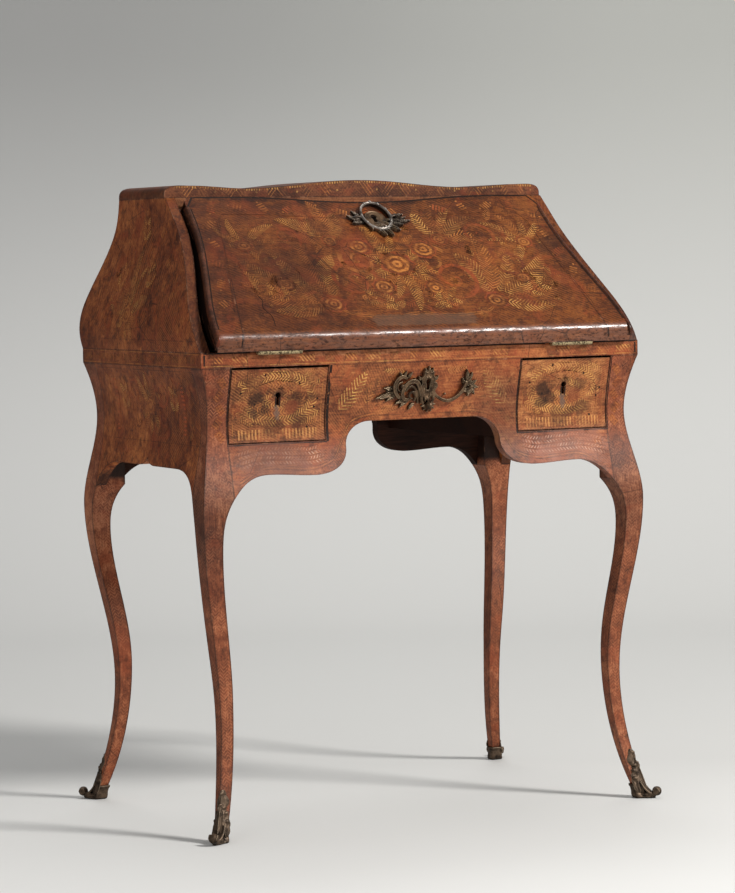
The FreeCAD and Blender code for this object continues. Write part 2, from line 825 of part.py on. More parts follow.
def hinge(sign):
    """Fixed leaf, lid leaf and pin of one butt hinge."""
    start = sign * hinge_middle - hinge_long / 2
    end = start + hinge_long
    middle_long = hinge_long * knuckle_share
    inner = sign * hinge_middle - middle_long / 2
    outer = inner + middle_long
    axis = V(start, -hinge_reach, hinge_z)
    bore = Part.makeCylinder(hinge_pin, hinge_long, axis, V(1, 0, 0))
    loose_bore = Part.makeCylinder(hinge_pin + pin_fit, hinge_long, axis, V(1, 0, 0))
    flat = box(start, end, -hinge_reach, -hinge_reach + flap_deep, bed_top_z - flap_thick, bed_top_z)
    room = Part.makeCylinder(knuckle_radius + knuckle_gap, middle_long + 2 * knuckle_gap,
                             V(inner - knuckle_gap, -hinge_reach, hinge_z), V(1, 0, 0))
    fixed = fused([flat, knuckles(start, inner), knuckles(outer, end)]).cut(room).cut(bore)
    leaf = lid_place(Part.makeBox(hinge_long, flap_deep, flap_thick, V(start, 0, 0)))
    away = [Part.makeCylinder(knuckle_radius + knuckle_gap, inner - start + knuckle_gap, axis, V(1, 0, 0)),
            Part.makeCylinder(knuckle_radius + knuckle_gap, end - outer + knuckle_gap,
                              V(outer - knuckle_gap, -hinge_reach, hinge_z), V(1, 0, 0))]
    tube = knuckles(inner + knuckle_gap, outer - knuckle_gap)
    moving = fused([leaf.cut(away[0]).cut(away[1]), tube]).cut(loose_bore)
    return fixed, moving, bore


def hinge_room(sign):
    """Space that the lid leaves round one hinge barrel."""
    start = sign * hinge_middle - hinge_long / 2 - knuckle_room
    return Part.makeCylinder(knuckle_radius + knuckle_room, hinge_long + 2 * knuckle_room,
                             V(start, -hinge_reach, hinge_z), V(1, 0, 0))


# Drawers and what carries them

def drawer_span(sign):
    near = drawer_in + drawer_gap
    far = stile_in - drawer_gap
    return (near, far) if sign > 0 else (-far, -near)


def drawer(name, sign):
    """Bowed front, two sides, back and bottom of one frieze drawer, with its lock."""
    x0, x1 = drawer_span(sign)
    low = drawer_low_z + drawer_gap
    top = bed_bottom_z - drawer_top_gap
    limits = box(x0, x1, -half_span, half_span, low, top)
    front = depth_strip(front_low, shifted(front_low, -drawer_front_thick), -1, x0, x1).common(limits)
    key_centre = V((x0 + x1) / 2, 0, top - drawer_key_drop)
    front = front.cut(keyhole(key_centre, V(0, -half_span, 0), V(0, 0, -1), drawer_key_share))
    behind = shifted(front_low, -drawer_front_thick)
    end = upright_line(-drawer_end, foot_z, bed_bottom_z)
    room = depth_strip(behind, end, -1, x0, x1)
    walls_top = top - drawer_drop
    rest = drawer_low_z + run_gap
    wall = room.common(box(x0, x1, -half_span, drawer_end, rest, walls_top))
    lock = drawer_lock(key_centre, behind)
    floor_low = low + drawer_floor_up
    floor_top = floor_low + drawer_floor
    pieces = {
        "front": front.cut(lock),
        "left_side": wall.common(box(x0, x0 + drawer_wall, -half_span, half_span, rest, top)),
        "right_side": wall.common(box(x1 - drawer_wall, x1, -half_span, half_span, rest, top)),
        "back": box(x0 + drawer_wall, x1 - drawer_wall, drawer_end - drawer_wall, drawer_end,
                    rest, walls_top),
        "bottom": room.common(box(x0 + drawer_wall, x1 - drawer_wall, -half_span,
                                  drawer_end - drawer_wall, floor_low, floor_top)),
        "lock": lock,
    }
    return {"%s_drawer_%s" % (name, piece): shape for piece, shape in pieces.items()}


def drawer_lock(key_centre, behind):
    """Lock let into the back of a drawer front."""
    x0 = key_centre.x - drawer_lock_wide / 2
    low = key_centre.z - drawer_lock_high / 2
    reach = reach_at(behind, low)
    return box(x0, x0 + drawer_lock_wide, -reach - drawer_lock_deep / 2, -reach + drawer_lock_deep / 2,
               low, low + drawer_lock_high)


def drawer_carriers(name, sign, inside, legs):
    """Floor board under a drawer and the upright board beside it."""
    x0, x1 = sorted((sign * (partition_x + partition), sign * half_span))
    floor_low = drawer_low_z - floor_board
    floor = box(x0, x1, -half_span, half_span, floor_low, drawer_low_z).common(inside)
    for leg in legs:
        floor = floor.cut(leg)
    x0, x1 = sorted((sign * partition_x, sign * (partition_x + partition)))
    wall = box(x0, x1, -half_span, half_span, floor_low, bed_bottom_z).common(inside)
    return {"%s_drawer_floor_board" % name: floor, "%s_partition" % name: wall}


# Well and its cover

def well_pieces(inside):
    floor = box(-partition_x, partition_x, -half_span, half_span, well_floor_z, well_floor_z + well_floor)
    half = well_half + cover_lap - run_gap
    low = bed_top_z - cover_thick
    cover = box(-half, half, well_front - cover_lap + run_gap, well_back + cover_lap, low, bed_top_z)
    grip_start = V(-cover_grip_long / 2, well_front + cover_grip_in, bed_top_z + cover_grip_radius / 2)
    grip = Part.makeCylinder(cover_grip_radius, cover_grip_long, grip_start, V(1, 0, 0))
    return {"well_floor": floor.common(inside), "well_cover": cover.cut(grip)}


# Fitted interior

def interior(inside):
    pieces = {}
    shelf = box(-half_span, half_span, shelf_front, half_span, shelf_z, shelf_z + shelf_thick)
    pieces["interior_shelf"] = shelf.common(inside)
    for name, sign in sides.items():
        x0, x1 = sorted((sign * upright_x, sign * (upright_x + upright)))
        pieces["%s_upright" % name] = box(x0, x1, upright_front, half_span, bed_top_z, shelf_z).common(inside)
        x0, x1 = sorted((sign * pigeon_x, sign * (pigeon_x + upright)))
        pieces["%s_pigeonhole_divider" % name] = box(x0, x1, pigeon_front, half_span,
                                                     shelf_z + shelf_thick, case_top_z).common(inside)
        pieces.update(nest_drawer(name, sign))
    return pieces


def nest_drawer(name, sign):
    """Small drawer under the shelf: front, box and turned knob."""
    near = upright_x + upright + nest_gap
    x0, x1 = sorted((sign * near, sign * nest_outer))
    low = bed_top_z + run_gap
    top = shelf_z - nest_gap
    front_end = upright_front + nest_front_thick
    front = box(x0, x1, upright_front, front_end, low, top)
    tray = box(x0, x1, front_end, nest_end, low, top - nest_gap)
    tray = tray.cut(box(x0 + nest_wall, x1 - nest_wall, front_end, nest_end - nest_wall,
                        low + nest_wall, top))
    centre = V((x0 + x1) / 2, upright_front, (low + top) / 2)
    neck = centre - V(0, knob_long - knob_radius, 0)
    stem = Part.makeCylinder(knob_neck, knob_long - knob_radius, neck, V(0, 1, 0))
    head = Part.makeSphere(knob_radius, neck)
    knob = fused([stem, head])
    return {"%s_inner_drawer_front" % name: front, "%s_inner_drawer_box" % name: tray,
            "%s_inner_drawer_knob" % name: knob}


# Mount on the middle of the frieze

def crescent(ends, wide):
    """Crescent scroll through three points, thickest at the middle one."""
    first, middle, last = [V(mount_x + x, -half_span, mount_z + z) for x, z in ends]
    inward = ((first + last) / 2 - middle).normalize() * wide
    outer = Part.Arc(first, middle, last).toShape()
    inner = Part.Arc(first, middle + inward, last).toShape()
    return block([outer, inner], V(0, half_span, 0))


def centre_mount():
    """Shield with a keyhole between a pair of scrolls and a swag that ends in a flower."""
    across = V(1, 0, 0)
    up = V(0, 0, 1)
    push = V(0, half_span, 0)
    shield = lobed_outline(V(mount_x, -half_span, mount_z), up, across, mount_half_high, mount_half_wide,
                           mount_lobes, mount_lobe_depth)
    flower = lobed_outline(V(mount_x + flower_out, -half_span, mount_z - flower_drop), up, across,
                           flower_radius, flower_radius, flower_lobes, flower_depth)
    pearl_place = V(mount_x, -half_span, mount_z - pearl_drop)
    pearl = Part.makeCylinder(pearl_radius, half_span, pearl_place, V(0, 1, 0))
    shapes = [Part.Face(Part.Wire(shield)).extrude(push), Part.Face(Part.Wire(flower)).extrude(push), pearl]
    scrolls = (arch_scroll, cup_scroll, tip_scroll, swag_scroll, plume_scroll)
    shapes += [crescent(ends, scroll_wide) for ends in scrolls]
    skin = depth_strip(shifted(front_low, mount_thick), front_low, -1, -stile_in, stile_in)
    plate = fused([shape.common(skin) for shape in shapes])
    return plate.cut(keyhole(V(mount_x, 0, mount_key_z), V(0, -half_span, 0), V(0, 0, -1)))


# Assembly

def build():
    pieces = {}
    legs = []
    for row in rows:
        for name, sign in sides.items():
            leg = leg_block(sign, row)
            legs.append(leg)
            pieces["%s_%s_leg" % (row, name)] = leg
            pieces["%s_%s_shoe" % (row, name)] = shoe(sign, row, leg)
    pieces["front_apron"] = front_apron()
    pieces["back_apron"] = back_apron()
    below = hollow_below()
    above = hollow_above()
    fixed_leaves = []
    lid_cuts = [lid_key(), lid_lock()]
    pieces["lid_lock"] = lid_lock()
    for name, sign in sides.items():
        pieces["%s_apron" % name] = side_apron(sign)
        pieces["case_%s_side" % name] = case_side(sign)
        fixed, moving, pin = hinge(sign)
        pieces["%s_hinge_fixed_leaf" % name] = fixed
        pieces["%s_hinge_lid_leaf" % name] = moving
        pieces["%s_hinge_pin" % name] = pin
        fixed_leaves.append(fixed)
        lid_cuts += [moving, hinge_room(sign)]
        pieces.update(drawer(name, sign))
        pieces.update(drawer_carriers(name, sign, below, legs))
    pieces["writing_bed"] = writing_bed(fused(fixed_leaves))
    pieces["case_back"] = case_back()
    pieces["top_board"] = top_board()
    pieces.update(lid_pieces(lid_slab(), fused(lid_cuts)))
    pieces["lid_escutcheon"] = scutcheon()
    pieces["lid_stop_rail"] = stop_rail(above)
    pieces["centre_mount"] = centre_mount()
    pieces.update(well_pieces(below))
    pieces.update(interior(above))
    return pieces


os.makedirs("parts", exist_ok=True)
for node, shape in build().items():
    shape.exportStep("parts/%s.step" % node)
    print(node, len(shape.Solids), shape.isValid(), round(shape.Volume / 1000, 1))
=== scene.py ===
import bpy
import math
import numpy as np
from mathutils import Matrix, Vector
from mathutils.bvhtree import BVHTree


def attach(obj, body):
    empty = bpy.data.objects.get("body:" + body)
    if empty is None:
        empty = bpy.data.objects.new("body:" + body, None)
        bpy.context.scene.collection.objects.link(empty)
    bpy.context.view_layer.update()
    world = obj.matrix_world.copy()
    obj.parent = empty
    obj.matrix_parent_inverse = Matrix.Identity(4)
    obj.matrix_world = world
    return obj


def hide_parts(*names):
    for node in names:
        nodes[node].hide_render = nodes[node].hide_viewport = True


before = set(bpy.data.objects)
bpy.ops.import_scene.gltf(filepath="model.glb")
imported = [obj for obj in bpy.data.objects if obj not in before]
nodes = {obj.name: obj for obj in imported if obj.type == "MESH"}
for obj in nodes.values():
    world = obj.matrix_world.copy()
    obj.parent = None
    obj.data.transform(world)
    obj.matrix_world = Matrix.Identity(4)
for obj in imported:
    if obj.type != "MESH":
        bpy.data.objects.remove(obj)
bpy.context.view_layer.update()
scene = bpy.context.scene
scene.view_settings.view_transform = "Standard"
MM = 0.001
SIDES = (("left", -1), ("right", 1))


def tint(*screen):
    """Screen colour from 0 to 255, turned to linear light."""
    parts = [c / 255.0 for c in screen]
    return tuple(c / 12.92 if c <= 0.04045 else ((c + 0.055) / 1.055) ** 2.4 for c in parts) + (1.0,)


def add_object(name, data):
    made = bpy.data.objects.new(name, data)
    scene.collection.objects.link(made)
    return made


# Shader helpers

class Shader:
    """A material and short calls that add nodes to it. Its colour is built up in layers."""

    def __init__(self, name):
        self.material = bpy.data.materials.new(name)
        self.material.use_nodes = True
        self.tree = self.material.node_tree
        self.tree.nodes.clear()
        self.spot = self.add("TexCoord", out="Object")
        self.colour = None

    def add(self, kind, inputs=None, out=0, **settings):
        """Add a node and return one of its outputs. An input is a value or the output of another node."""
        node = self.tree.nodes.new("ShaderNode" + kind)
        for key, value in settings.items():
            setattr(node, key, value)
        for key, value in (inputs or {}).items():
            if isinstance(value, bpy.types.NodeSocket):
                self.tree.links.new(value, node.inputs[key])
            else:
                node.inputs[key].default_value = value
        return node.outputs[out]

    def math(self, operation, a, b=0.0, c=0.0):
        return self.add("Math", {0: a, 1: b, 2: c}, operation=operation)

    def times(self, a, b):
        return self.math("MULTIPLY", a, b)

    def scaled(self, value, factor, base):
        """Value times factor, plus base."""
        return self.math("MULTIPLY_ADD", value, factor, base)

    def inverse(self, share):
        return self.math("SUBTRACT", 1.0, share)

    def measure(self, operation, a, b):
        """Dot product or distance of two vectors."""
        return self.add("VectorMath", {0: a, 1: b}, out="Value", operation=operation)

    def part(self, vector, letter):
        return self.add("SeparateXYZ", {0: vector}, out=letter)

    def height(self):
        return self.part(self.spot, "Z")

    def facing(self, letter, kind="Normal"):
        """One coordinate of the direction that the surface faces."""
        return self.part(self.add("NewGeometry", out=kind), letter)

    def mix(self, factor, a, b, blend="MIX"):
        return self.add("Mix", {0: factor, 6: a, 7: b}, out=2, data_type="RGBA", blend_type=blend)

    def lay(self, mask, share, shade, blend="MIX"):
        """Lay a shade over the colour, by the share of a mask."""
        self.colour = self.mix(self.times(mask, share), self.colour, shade, blend)

    def ramp(self, factor, stops):
        socket = self.add("ValToRGB", {0: factor})
        bar = socket.node.color_ramp
        while len(bar.elements) < len(stops):
            bar.elements.new(0.5)
        for element, (place, colour) in zip(bar.elements, stops):
            element.position = place
            element.color = colour
        return socket

    def step(self, value, low, high):
        """0 at low, 1 at high, smooth between them and level beyond."""
        inputs = {0: value, 1: low, 2: high, 3: 0.0, 4: 1.0}
        return self.add("MapRange", inputs, interpolation_type="SMOOTHSTEP")

    def scale_inputs(self, scale):
        """Place and scale of a texture. Three scales stretch it."""
        if isinstance(scale, tuple):
            return {"Vector": self.add("Mapping", {"Vector": self.spot, "Scale": scale}), "Scale": 1.0}
        return {"Vector": self.spot, "Scale": scale}

    def noise(self, scale, detail=3.0, rough=0.55, warp=0.0):
        inputs = self.scale_inputs(scale)
        inputs.update({"Detail": detail, "Roughness": rough, "Distortion": warp})
        return self.add("TexNoise", inputs)

    def blots(self, low, high, *noise):
        """Patches where noise passes from low to high."""
        return self.step(self.noise(*noise), low, high)

    def cells(self, scale):
        """Distance to the nearest border between cells."""
        return self.add("TexVoronoi", self.scale_inputs(scale), feature="DISTANCE_TO_EDGE")

    def hollow(self, reach, samples):
        """Near 0 in hollows and 1 on open ground."""
        return self.add("AmbientOcclusion", {"Distance": reach}, out="AO", samples=samples)

    def edge_wear(self, radius):
        """Near 1 on sharp edges and 0 on flat ground."""
        soft = self.add("Bevel", {"Radius": radius}, samples=4)
        sharp = self.add("NewGeometry", out="Normal")
        return self.step(self.measure("DOT_PRODUCT", soft, sharp), 0.995, 0.86)

    def show(self, shader):
        output = self.tree.nodes.new("ShaderNodeOutputMaterial")
        self.tree.links.new(shader, output.inputs[0])
        return self.material

    def finish(self, rough, rise, strength, distance, **plain):
        """Show the colour with a roughness, a relief and plain values for other inputs."""
        bump = self.add("Bump", {"Strength": strength, "Distance": distance, "Height": rise})
        inputs = {"Base Color": self.colour, "Roughness": rough, "Normal": bump}
        inputs.update({key.replace("_", " "): value for key, value in plain.items()})
        return self.show(self.add("BsdfPrincipled", inputs))


# Wood

class Veneer(Shader):
    """Mottled veneer, with a call for each kind of pattern, dirt and wear on it, and for painted shade and
    painted sheen.
    """

    def __init__(self, name, dark, body, pale, grain, rust, moss):
        super().__init__(name)
        self.dark, self.pale, self.grain = dark, pale, grain
        self.coat, self.pits = 0.12, None
        self.cloud = self.noise(7.0, 5.0, 0.6, 0.4)
        self.fibre = self.noise(grain, 5.0, 0.62)
        self.figure = self.noise(58.0, 4.0, 0.65, 0.7)
        tone = self.scaled(self.figure, 0.30, self.times(self.noise(330.0, 2.0, 0.5), 0.18))
        tone = self.scaled(self.cloud, 0.45, self.scaled(self.fibre, 0.30, tone))
        self.colour = self.ramp(tone, [(0.50, dark), (0.62, body), (0.745, pale)])
        self.lay(self.blots(0.52, 0.66, 16.0, 3.0, 0.6, 1.2), 0.42, rust)
        self.lay(self.blots(0.36, 0.24, 21.0, 3.0, 0.6, 1.0), 0.5, moss)

    def hatching(self, turn, chevron, pitch, share):
        """Fine parallel lines in patches, bent into a herringbone where chevron is above zero."""
        x, y, z = (self.part(self.spot, letter) for letter in "XYZ")
        flat = self.math("ADD", x, self.times(y, 0.83))
        if chevron:
            across, along = self.math("PINGPONG", flat, chevron), z
        else:
            across, along = self.times(flat, math.sin(turn)), self.times(z, math.cos(turn))
        wave = self.times(self.math("ADD", across, along), 2 * math.pi / pitch)
        lines = self.step(self.math("SINE", wave), 0.1, 0.75)
        return self.times(lines, self.times(self.blots(0.38, 0.60, 19.0, 2.0, 0.5, 0.8), share))

    def stripes(self):
        """Mask, strength and colour of an inlaid piece, from its pattern coordinates and its style."""
        flat = self.add("UVMap", uv_map="pattern")
        u, v = (self.times(self.part(flat, letter), 100.0) for letter in "XY")
        light, style = (self.add("Attribute", attribute_name=title) for title in ("light", "style"))
        strength, fold = (socket.node.outputs["Alpha"] for socket in (light, style))
        pitch, slope, share = (self.add("SeparateColor", {0: style}, out=i) for i in range(3))
        folded = self.scaled(self.math("SUBTRACT", self.math("ABSOLUTE", v), v), fold, v)
        shake = self.scaled(self.noise(210.0, 2.0), 1.6, -0.8)
        turn = self.math("DIVIDE", self.math("ADD", self.scaled(folded, slope, u), shake), pitch)
        away = self.math("ABSOLUTE", self.math("SUBTRACT", self.math("FRACT", turn), 0.5))
        band = self.step(self.math("SUBTRACT", self.times(away, 2.0), share), 0.16, -0.16)
        worn = self.scaled(self.blots(0.40, 0.60, 34.0, 4.0, 0.66, 0.7), 0.74, 0.16)
        rubbed = self.scaled(self.blots(0.30, 0.52, 240.0, 2.0, 0.6), 0.5, 0.5)
        left = self.math("MAXIMUM", self.times(worn, rubbed), self.step(strength, 0.91, 0.945))
        return self.times(band, left), strength, light

    def outer(self):
        """1 on faces that look to the front and 0 on those that look back."""
        return self.step(self.part(self.add("TexCoord", out="Normal"), "Y"), 0.45, 0.25)

    def nose(self, lines, low, high):
        """Rubbed and pitted front edge below a height. Returns the hatching that is left."""
        front = self.times(self.step(self.height(), high, low), self.outer())
        self.lay(front, 0.6, self.mix(self.fibre, tint(72, 40, 28), tint(158, 102, 74)))
        self.pits = self.times(front, self.blots(0.53, 0.62, (120.0, 260.0, 260.0), 4.0, 0.68))
        rubbed = self.blots(0.40, 0.60, (42.0, 300.0, 300.0), 5.0, 0.72)
        rubbed = self.times(rubbed, self.inverse(self.pits))
        self.lay(self.pits, 0.75, tint(44, 22, 14))
        self.coat = self.scaled(self.times(front, rubbed), 0.9, 0.06)
        return self.times(lines, self.inverse(front))

    def fade(self, low, high, shade, share):
        """Paler ground below a height: partly wear, partly painted sheen."""
        worn = self.times(self.step(self.height(), high, low), self.blots(0.34, 0.62, 24.0, 4.0, 0.62))
        self.lay(worn, share, shade)

    def dirt(self):
        """Dark spots, flecks, pores and seams, and pale glints."""
        self.lay(self.blots(0.57, 0.70, 46.0, 3.0, 0.6), 0.5, tint(50, 28, 18))
        self.lay(self.blots(0.56, 0.68, 170.0, 3.0, 0.6, 0.5), 0.55, self.dark)
        fine = tuple(g * 2.4 for g in self.grain)
        self.lay(self.blots(0.60, 0.70, fine, 2.0, 0.5), 0.38, tint(44, 24, 15))
        seam = self.step(self.cells((13.0, 13.0, 17.0)), 0.012, 0.003)
        self.lay(self.times(seam, self.blots(0.50, 0.62, 11.0, 2.0)), 0.6, tint(34, 18, 11))
        self.lay(self.blots(0.63, 0.72, 290.0, 2.0, 0.5, 0.4), 0.34, self.pale)

    def stain(self, centre, reach, shade, share):
        """Ragged blot. Some calls lay real stains with it, others painted shade and painted sheen."""
        away = self.math("SUBTRACT", self.measure("DISTANCE", self.spot, centre), reach * 0.8)
        ragged = self.scaled(self.noise(55.0, 4.0, 0.65), reach * 1.6, away)
        self.lay(self.step(ragged, reach, reach * 0.5), share, shade)

    def tone(self, centre, reach, light):
        """Region that is lighter or darker than the rest."""
        away = self.measure("DISTANCE", self.spot, centre)
        ragged = self.scaled(self.math("SUBTRACT", self.cloud, 0.5), reach, away)
        self.lay(self.step(ragged, reach, reach * 0.35), 1.0, light + (1.0,), "MULTIPLY")

    def scuff(self, middle, half, low, high, shade, share):
        """Streaked patch between two heights on the outer face."""
        stray = self.scaled(self.noise(62.0, 4.0, 0.66), 0.026, -0.013)
        beside = self.math("ABSOLUTE", self.math("SUBTRACT", self.part(self.spot, "X"), middle))
        beside = self.step(self.math("ADD", beside, stray), half, half - 0.008)
        height = self.scaled(stray, 0.4, self.height())
        strip = self.times(self.step(height, low, low + 0.003), self.step(height, high, high - 0.003))
        streak = self.scaled(self.fibre, 0.9, 0.35)
        self.lay(self.times(beside, self.times(strip, self.outer())), self.times(streak, share), shade)

    def relief(self, lines):
        crack = self.step(self.cells(95.0), 0.0, 0.035)
        rise = self.scaled(self.fibre, 0.6, self.scaled(crack, 0.2, self.times(lines, 0.4)))
        rise = self.scaled(self.figure, 0.5, rise)
        return rise if self.pits is None else self.scaled(self.pits, -0.9, rise)

    def inside(self, low, high):
        """Dark faces that look to the middle of the desk, above a height."""
        outward = self.add("VectorMath", {0: self.spot, 1: (1.0, 1.0, 0.0)}, operation="MULTIPLY")
        outward = self.measure("DOT_PRODUCT", self.add("NewGeometry", out="True Normal"), outward)
        height = self.scaled(self.cloud, 0.01, self.height())
        bare = self.times(self.step(outward, -0.02, -0.08), self.step(height, low, high))
        self.lay(bare, 0.92, tint(30, 22, 18))

    def wear(self, radius, arris, rub):
        """Dark edges, rubbed pale in places."""
        wear = self.edge_wear(radius)
        self.lay(wear, arris, tint(44, 24, 16))
        self.lay(self.times(wear, self.blots(0.54, 0.66, 70.0, 3.0, 0.6)), rub, tint(170, 122, 92))


def veneer(name, dark, body, pale, grain, hatch_turn=0.6, hatch=0.35, chevron=0.0, pitch=0.0036, gloss=0.46,
           rust=tint(140, 62, 32), moss=tint(84, 58, 28), nose=None, fade=None, inlaid=False, stains=(),
           tones=(), scuff=None, ends=0.0, rim=0.0, inside=None, grime=0.016, worn_edge=0.0032, arris=0.8,
           rub=0.55):
    """Old veneer. The inlaid kind adds each piece's own stripes to the same ground, so that both run on
    across the joint."""
    s = Veneer(name, dark, body, pale, grain, rust, moss)
    lines = s.hatching(hatch_turn, chevron, pitch, hatch)
    if nose:
        lines = s.nose(lines, *nose)
    s.lay(lines, 1.0, pale)
    if fade:
        s.fade(*fade)
    if inlaid:
        s.lay(*s.stripes())
    s.dirt()
    # Blots: real stains, and on the frieze's lobes and at the lid's keyhole painted sheen and painted shade.
    for stain in stains:
        s.stain(*stain)
    for tone in tones:
        s.tone(*tone)
    if scuff:
        s.scuff(*scuff)
    # Painted shade: faces that look sideways, such as the lid's end faces in the gaps beside the case, are
    # darkened by the ends share.
    if ends:
        s.lay(s.step(s.math("ABSOLUTE", s.facing("X")), 0.45, 0.75), ends, tint(12, 7, 5))
    if rim:
        s.lay(s.step(s.facing("Y"), -0.5, -0.8), rim, tint(30, 16, 11))
    if inside:
        s.inside(*inside)
    # Painted shade: ambient occlusion darkens hollows, gaps and the ground beside other parts.
    s.lay(s.step(s.hollow(grime, 4), 0.62, 0.12), 0.85, tint(26, 14, 9))
    if not inlaid:
        s.wear(worn_edge, arris, rub)
    rough = s.scaled(s.noise(60.0, 4.0, 0.6), 0.26, gloss - 0.13)
    return s.finish(rough, s.relief(lines), 0.30, 0.0006, Specular_IOR_Level=0.24, Coat_Weight=s.coat,
                    Coat_Roughness=0.21)


def bare_wood(name, dark, body, grain):
    """Unpolished wood with saw marks and grime, and one brown on all faces that look back."""
    s = Shader(name)
    fibre = s.noise(grain, 6.0, 0.65)
    grime = s.noise(14.0, 4.0, 0.6, 0.5)
    s.colour = s.ramp(s.scaled(fibre, 0.6, s.times(grime, 0.4)), [(0.36, dark), (0.66, body)])
    s.lay(s.edge_wear(0.002), 0.5, dark)
    behind = s.step(s.facing("Y", "True Normal"), 0.5, 0.8)
    s.lay(behind, 0.75, s.mix(fibre, tint(58, 34, 22), tint(128, 84, 54)))
    saw = s.math("SINE", s.times(s.part(s.spot, "Y"), 1900.0))
    rise = s.scaled(fibre, 0.8, s.times(saw, 0.06))
    return s.finish(s.scaled(grime, 0.25, 0.5), rise, 0.35, 0.0005, Specular_IOR_Level=0.12)


# Metal

def bronze(name, deep, body, rub_and_highlight, shine=0.36, spots=0.0):
    """Cast bronze with dirt in its hollows, high places rubbed pale that also carry a painted highlight, and
    dark spots.
    """
    deep, body, rub_and_highlight = (tint(*shade) for shade in (deep, body, rub_and_highlight))
    s = Shader(name)
    cloud = s.noise(85.0, 4.0, 0.6)
    fine = s.noise(520.0, 3.0, 0.6)
    hollow = s.hollow(0.007, 6)
    bend = s.add("NewGeometry", out="Pointiness")
    high = s.math("MAXIMUM", s.step(bend, 0.515, 0.60), s.edge_wear(0.0011))
    high = s.times(high, s.step(hollow, 0.35, 0.75))
    s.colour = s.ramp(s.scaled(cloud, 0.7, s.times(fine, 0.3)), [(0.36, deep), (0.60, body)])
    s.lay(s.step(hollow, 0.72, 0.3), 1.0, deep)
    s.lay(s.step(bend, 0.49, 0.43), 1.0, deep)
    # Painted highlight: high places and edges are laid pale, partly as rubbed wear.
    s.lay(high, 0.8, rub_and_highlight)
    if spots:
        s.lay(s.blots(0.48, 0.60, 240.0, 4.0, 0.66), spots, deep)
    metal = s.scaled(s.step(hollow, 0.3, 0.85), 0.35, 0.3)
    rough = s.scaled(high, -0.1, s.scaled(cloud, 0.3, shine - 0.06))
    rise = s.scaled(cloud, 0.5, s.times(fine, 0.5))
    return s.finish(rough, rise, 0.35, 0.0003, Metallic=metal)


def steel(name):
    """Brushed steel with rust."""
    s = Shader(name)
    brush = s.noise((40.0, 900.0, 900.0), 3.0, 0.6)
    cloud = s.noise(60.0, 5.0, 0.65)
    s.colour = s.ramp(cloud, [(0.35, tint(62, 58, 55)), (0.66, tint(128, 122, 114))])
    s.lay(s.blots(0.55, 0.68, 130.0, 3.0, 0.6), 0.6, tint(84, 52, 34))
    return s.finish(s.scaled(brush, 0.3, 0.3), brush, 0.25, 0.0002, Metallic=0.85)


# Finishes

LONG_X, LONG_Y, LONG_Z = (26.0, 420.0, 420.0), (420.0, 26.0, 420.0), (420.0, 420.0, 26.0)
SOOT, ASH, PINK, BRICK = tint(40, 24, 17), tint(100, 82, 72), tint(158, 108, 88), tint(120, 54, 30)
DRAWER_MIDDLE = 248.0
DRAWER_FACE = -0.203


def wood(dark, body, pale, grain=LONG_X, **more):
    """Settings of one veneer."""
    return dict(dark=tint(*dark), body=tint(*body), pale=tint(*pale), grain=grain, **more)


def drawer_stains(sign):
    """Handling marks round a keyhole: dark blots and grey scuffs."""
    marks = ((-36, 655, 17, SOOT, 0.8), (-1, 640, 7, ASH, 0.75), (0, 632, 8, ASH, 0.75),
             (1, 625, 6, ASH, 0.6), (-8, 612, 20, SOOT, 0.42), (-40, 634, 12, SOOT, 0.6),
             (30, 660, 15, SOOT, 0.5), (34, 622, 18, SOOT, 0.55), (2, 664, 16, SOOT, 0.6),
             (22, 640, 15, BRICK, 0.6), (-24, 672, 13, BRICK, 0.5), (-22, 640, 13, SOOT, 0.6))
    middle = sign * DRAWER_MIDDLE * MM
    return tuple(((middle + x * MM, DRAWER_FACE, z * MM), r * MM, shade, share)
                 for x, z, r, shade, share in marks)


WOODS = {
    # The lid's ends share paints shade on its sideways end faces.
    "lid": wood((53, 24, 10), (94, 47, 20), (140, 80, 34), hatch_turn=0.7, hatch=0.46, pitch=0.0058,
                scuff=(0.0, 0.092, 0.757, 0.776, tint(102, 78, 62), 0.6), ends=0.95, nose=(0.747, 0.757),
                stains=(((-0.19, -0.13, 0.85), 0.06, SOOT, 0.3), ((0.29, -0.1, 0.87), 0.04, SOOT, 0.4),
                        # Painted shade: a black blot round the escutcheon's keyhole.
                        ((-0.001, -0.049, 0.9186), 0.013, tint(8, 5, 4), 0.97)),
                tones=(((-0.27, -0.11, 0.86), 0.26, (0.68, 0.60, 0.48)),
                       ((0.04, -0.13, 0.835), 0.1, (1.2, 1.17, 1.0)))),
    "crest": wood((56, 28, 16), (90, 47, 26), (130, 76, 43), hatch_turn=0.7, hatch=0.3),
    # The frieze's short reach keeps the painted shade of ambient occlusion under the lid's nose narrow.
    "frieze": wood((84, 38, 20), (138, 71, 38), (184, 112, 62), hatch_turn=0.9, hatch=0.24, grime=0.007,
                   # The frieze's pale pink ground low on its lobes is partly wear and partly painted sheen.
                   fade=(0.545, 0.60, PINK, 0.3), rust=tint(150, 66, 34), moss=tint(112, 74, 38),
                   # The two lobe blots are painted light: the right lobe's pale blot is painted sheen, the
                   # left lobe's dark blot painted shade.
                   stains=(((-0.26, -0.21, 0.56), 0.08, tint(112, 66, 48), 0.6),
                           ((0.26, -0.21, 0.56), 0.07, tint(176, 124, 104), 0.3)),
                   tones=(((-0.1, -0.2, 0.655), 0.11, (1.2, 1.4, 1.42)),
                          ((0.14, -0.2, 0.62), 0.1, (0.7, 0.82, 1.0)))),
    "side": wood((78, 34, 17), (134, 68, 33), (186, 110, 57), (150.0, 150.0, 60.0), hatch_turn=-0.6,
                 hatch=0.4, rim=0.72, rust=tint(150, 64, 32)),
}
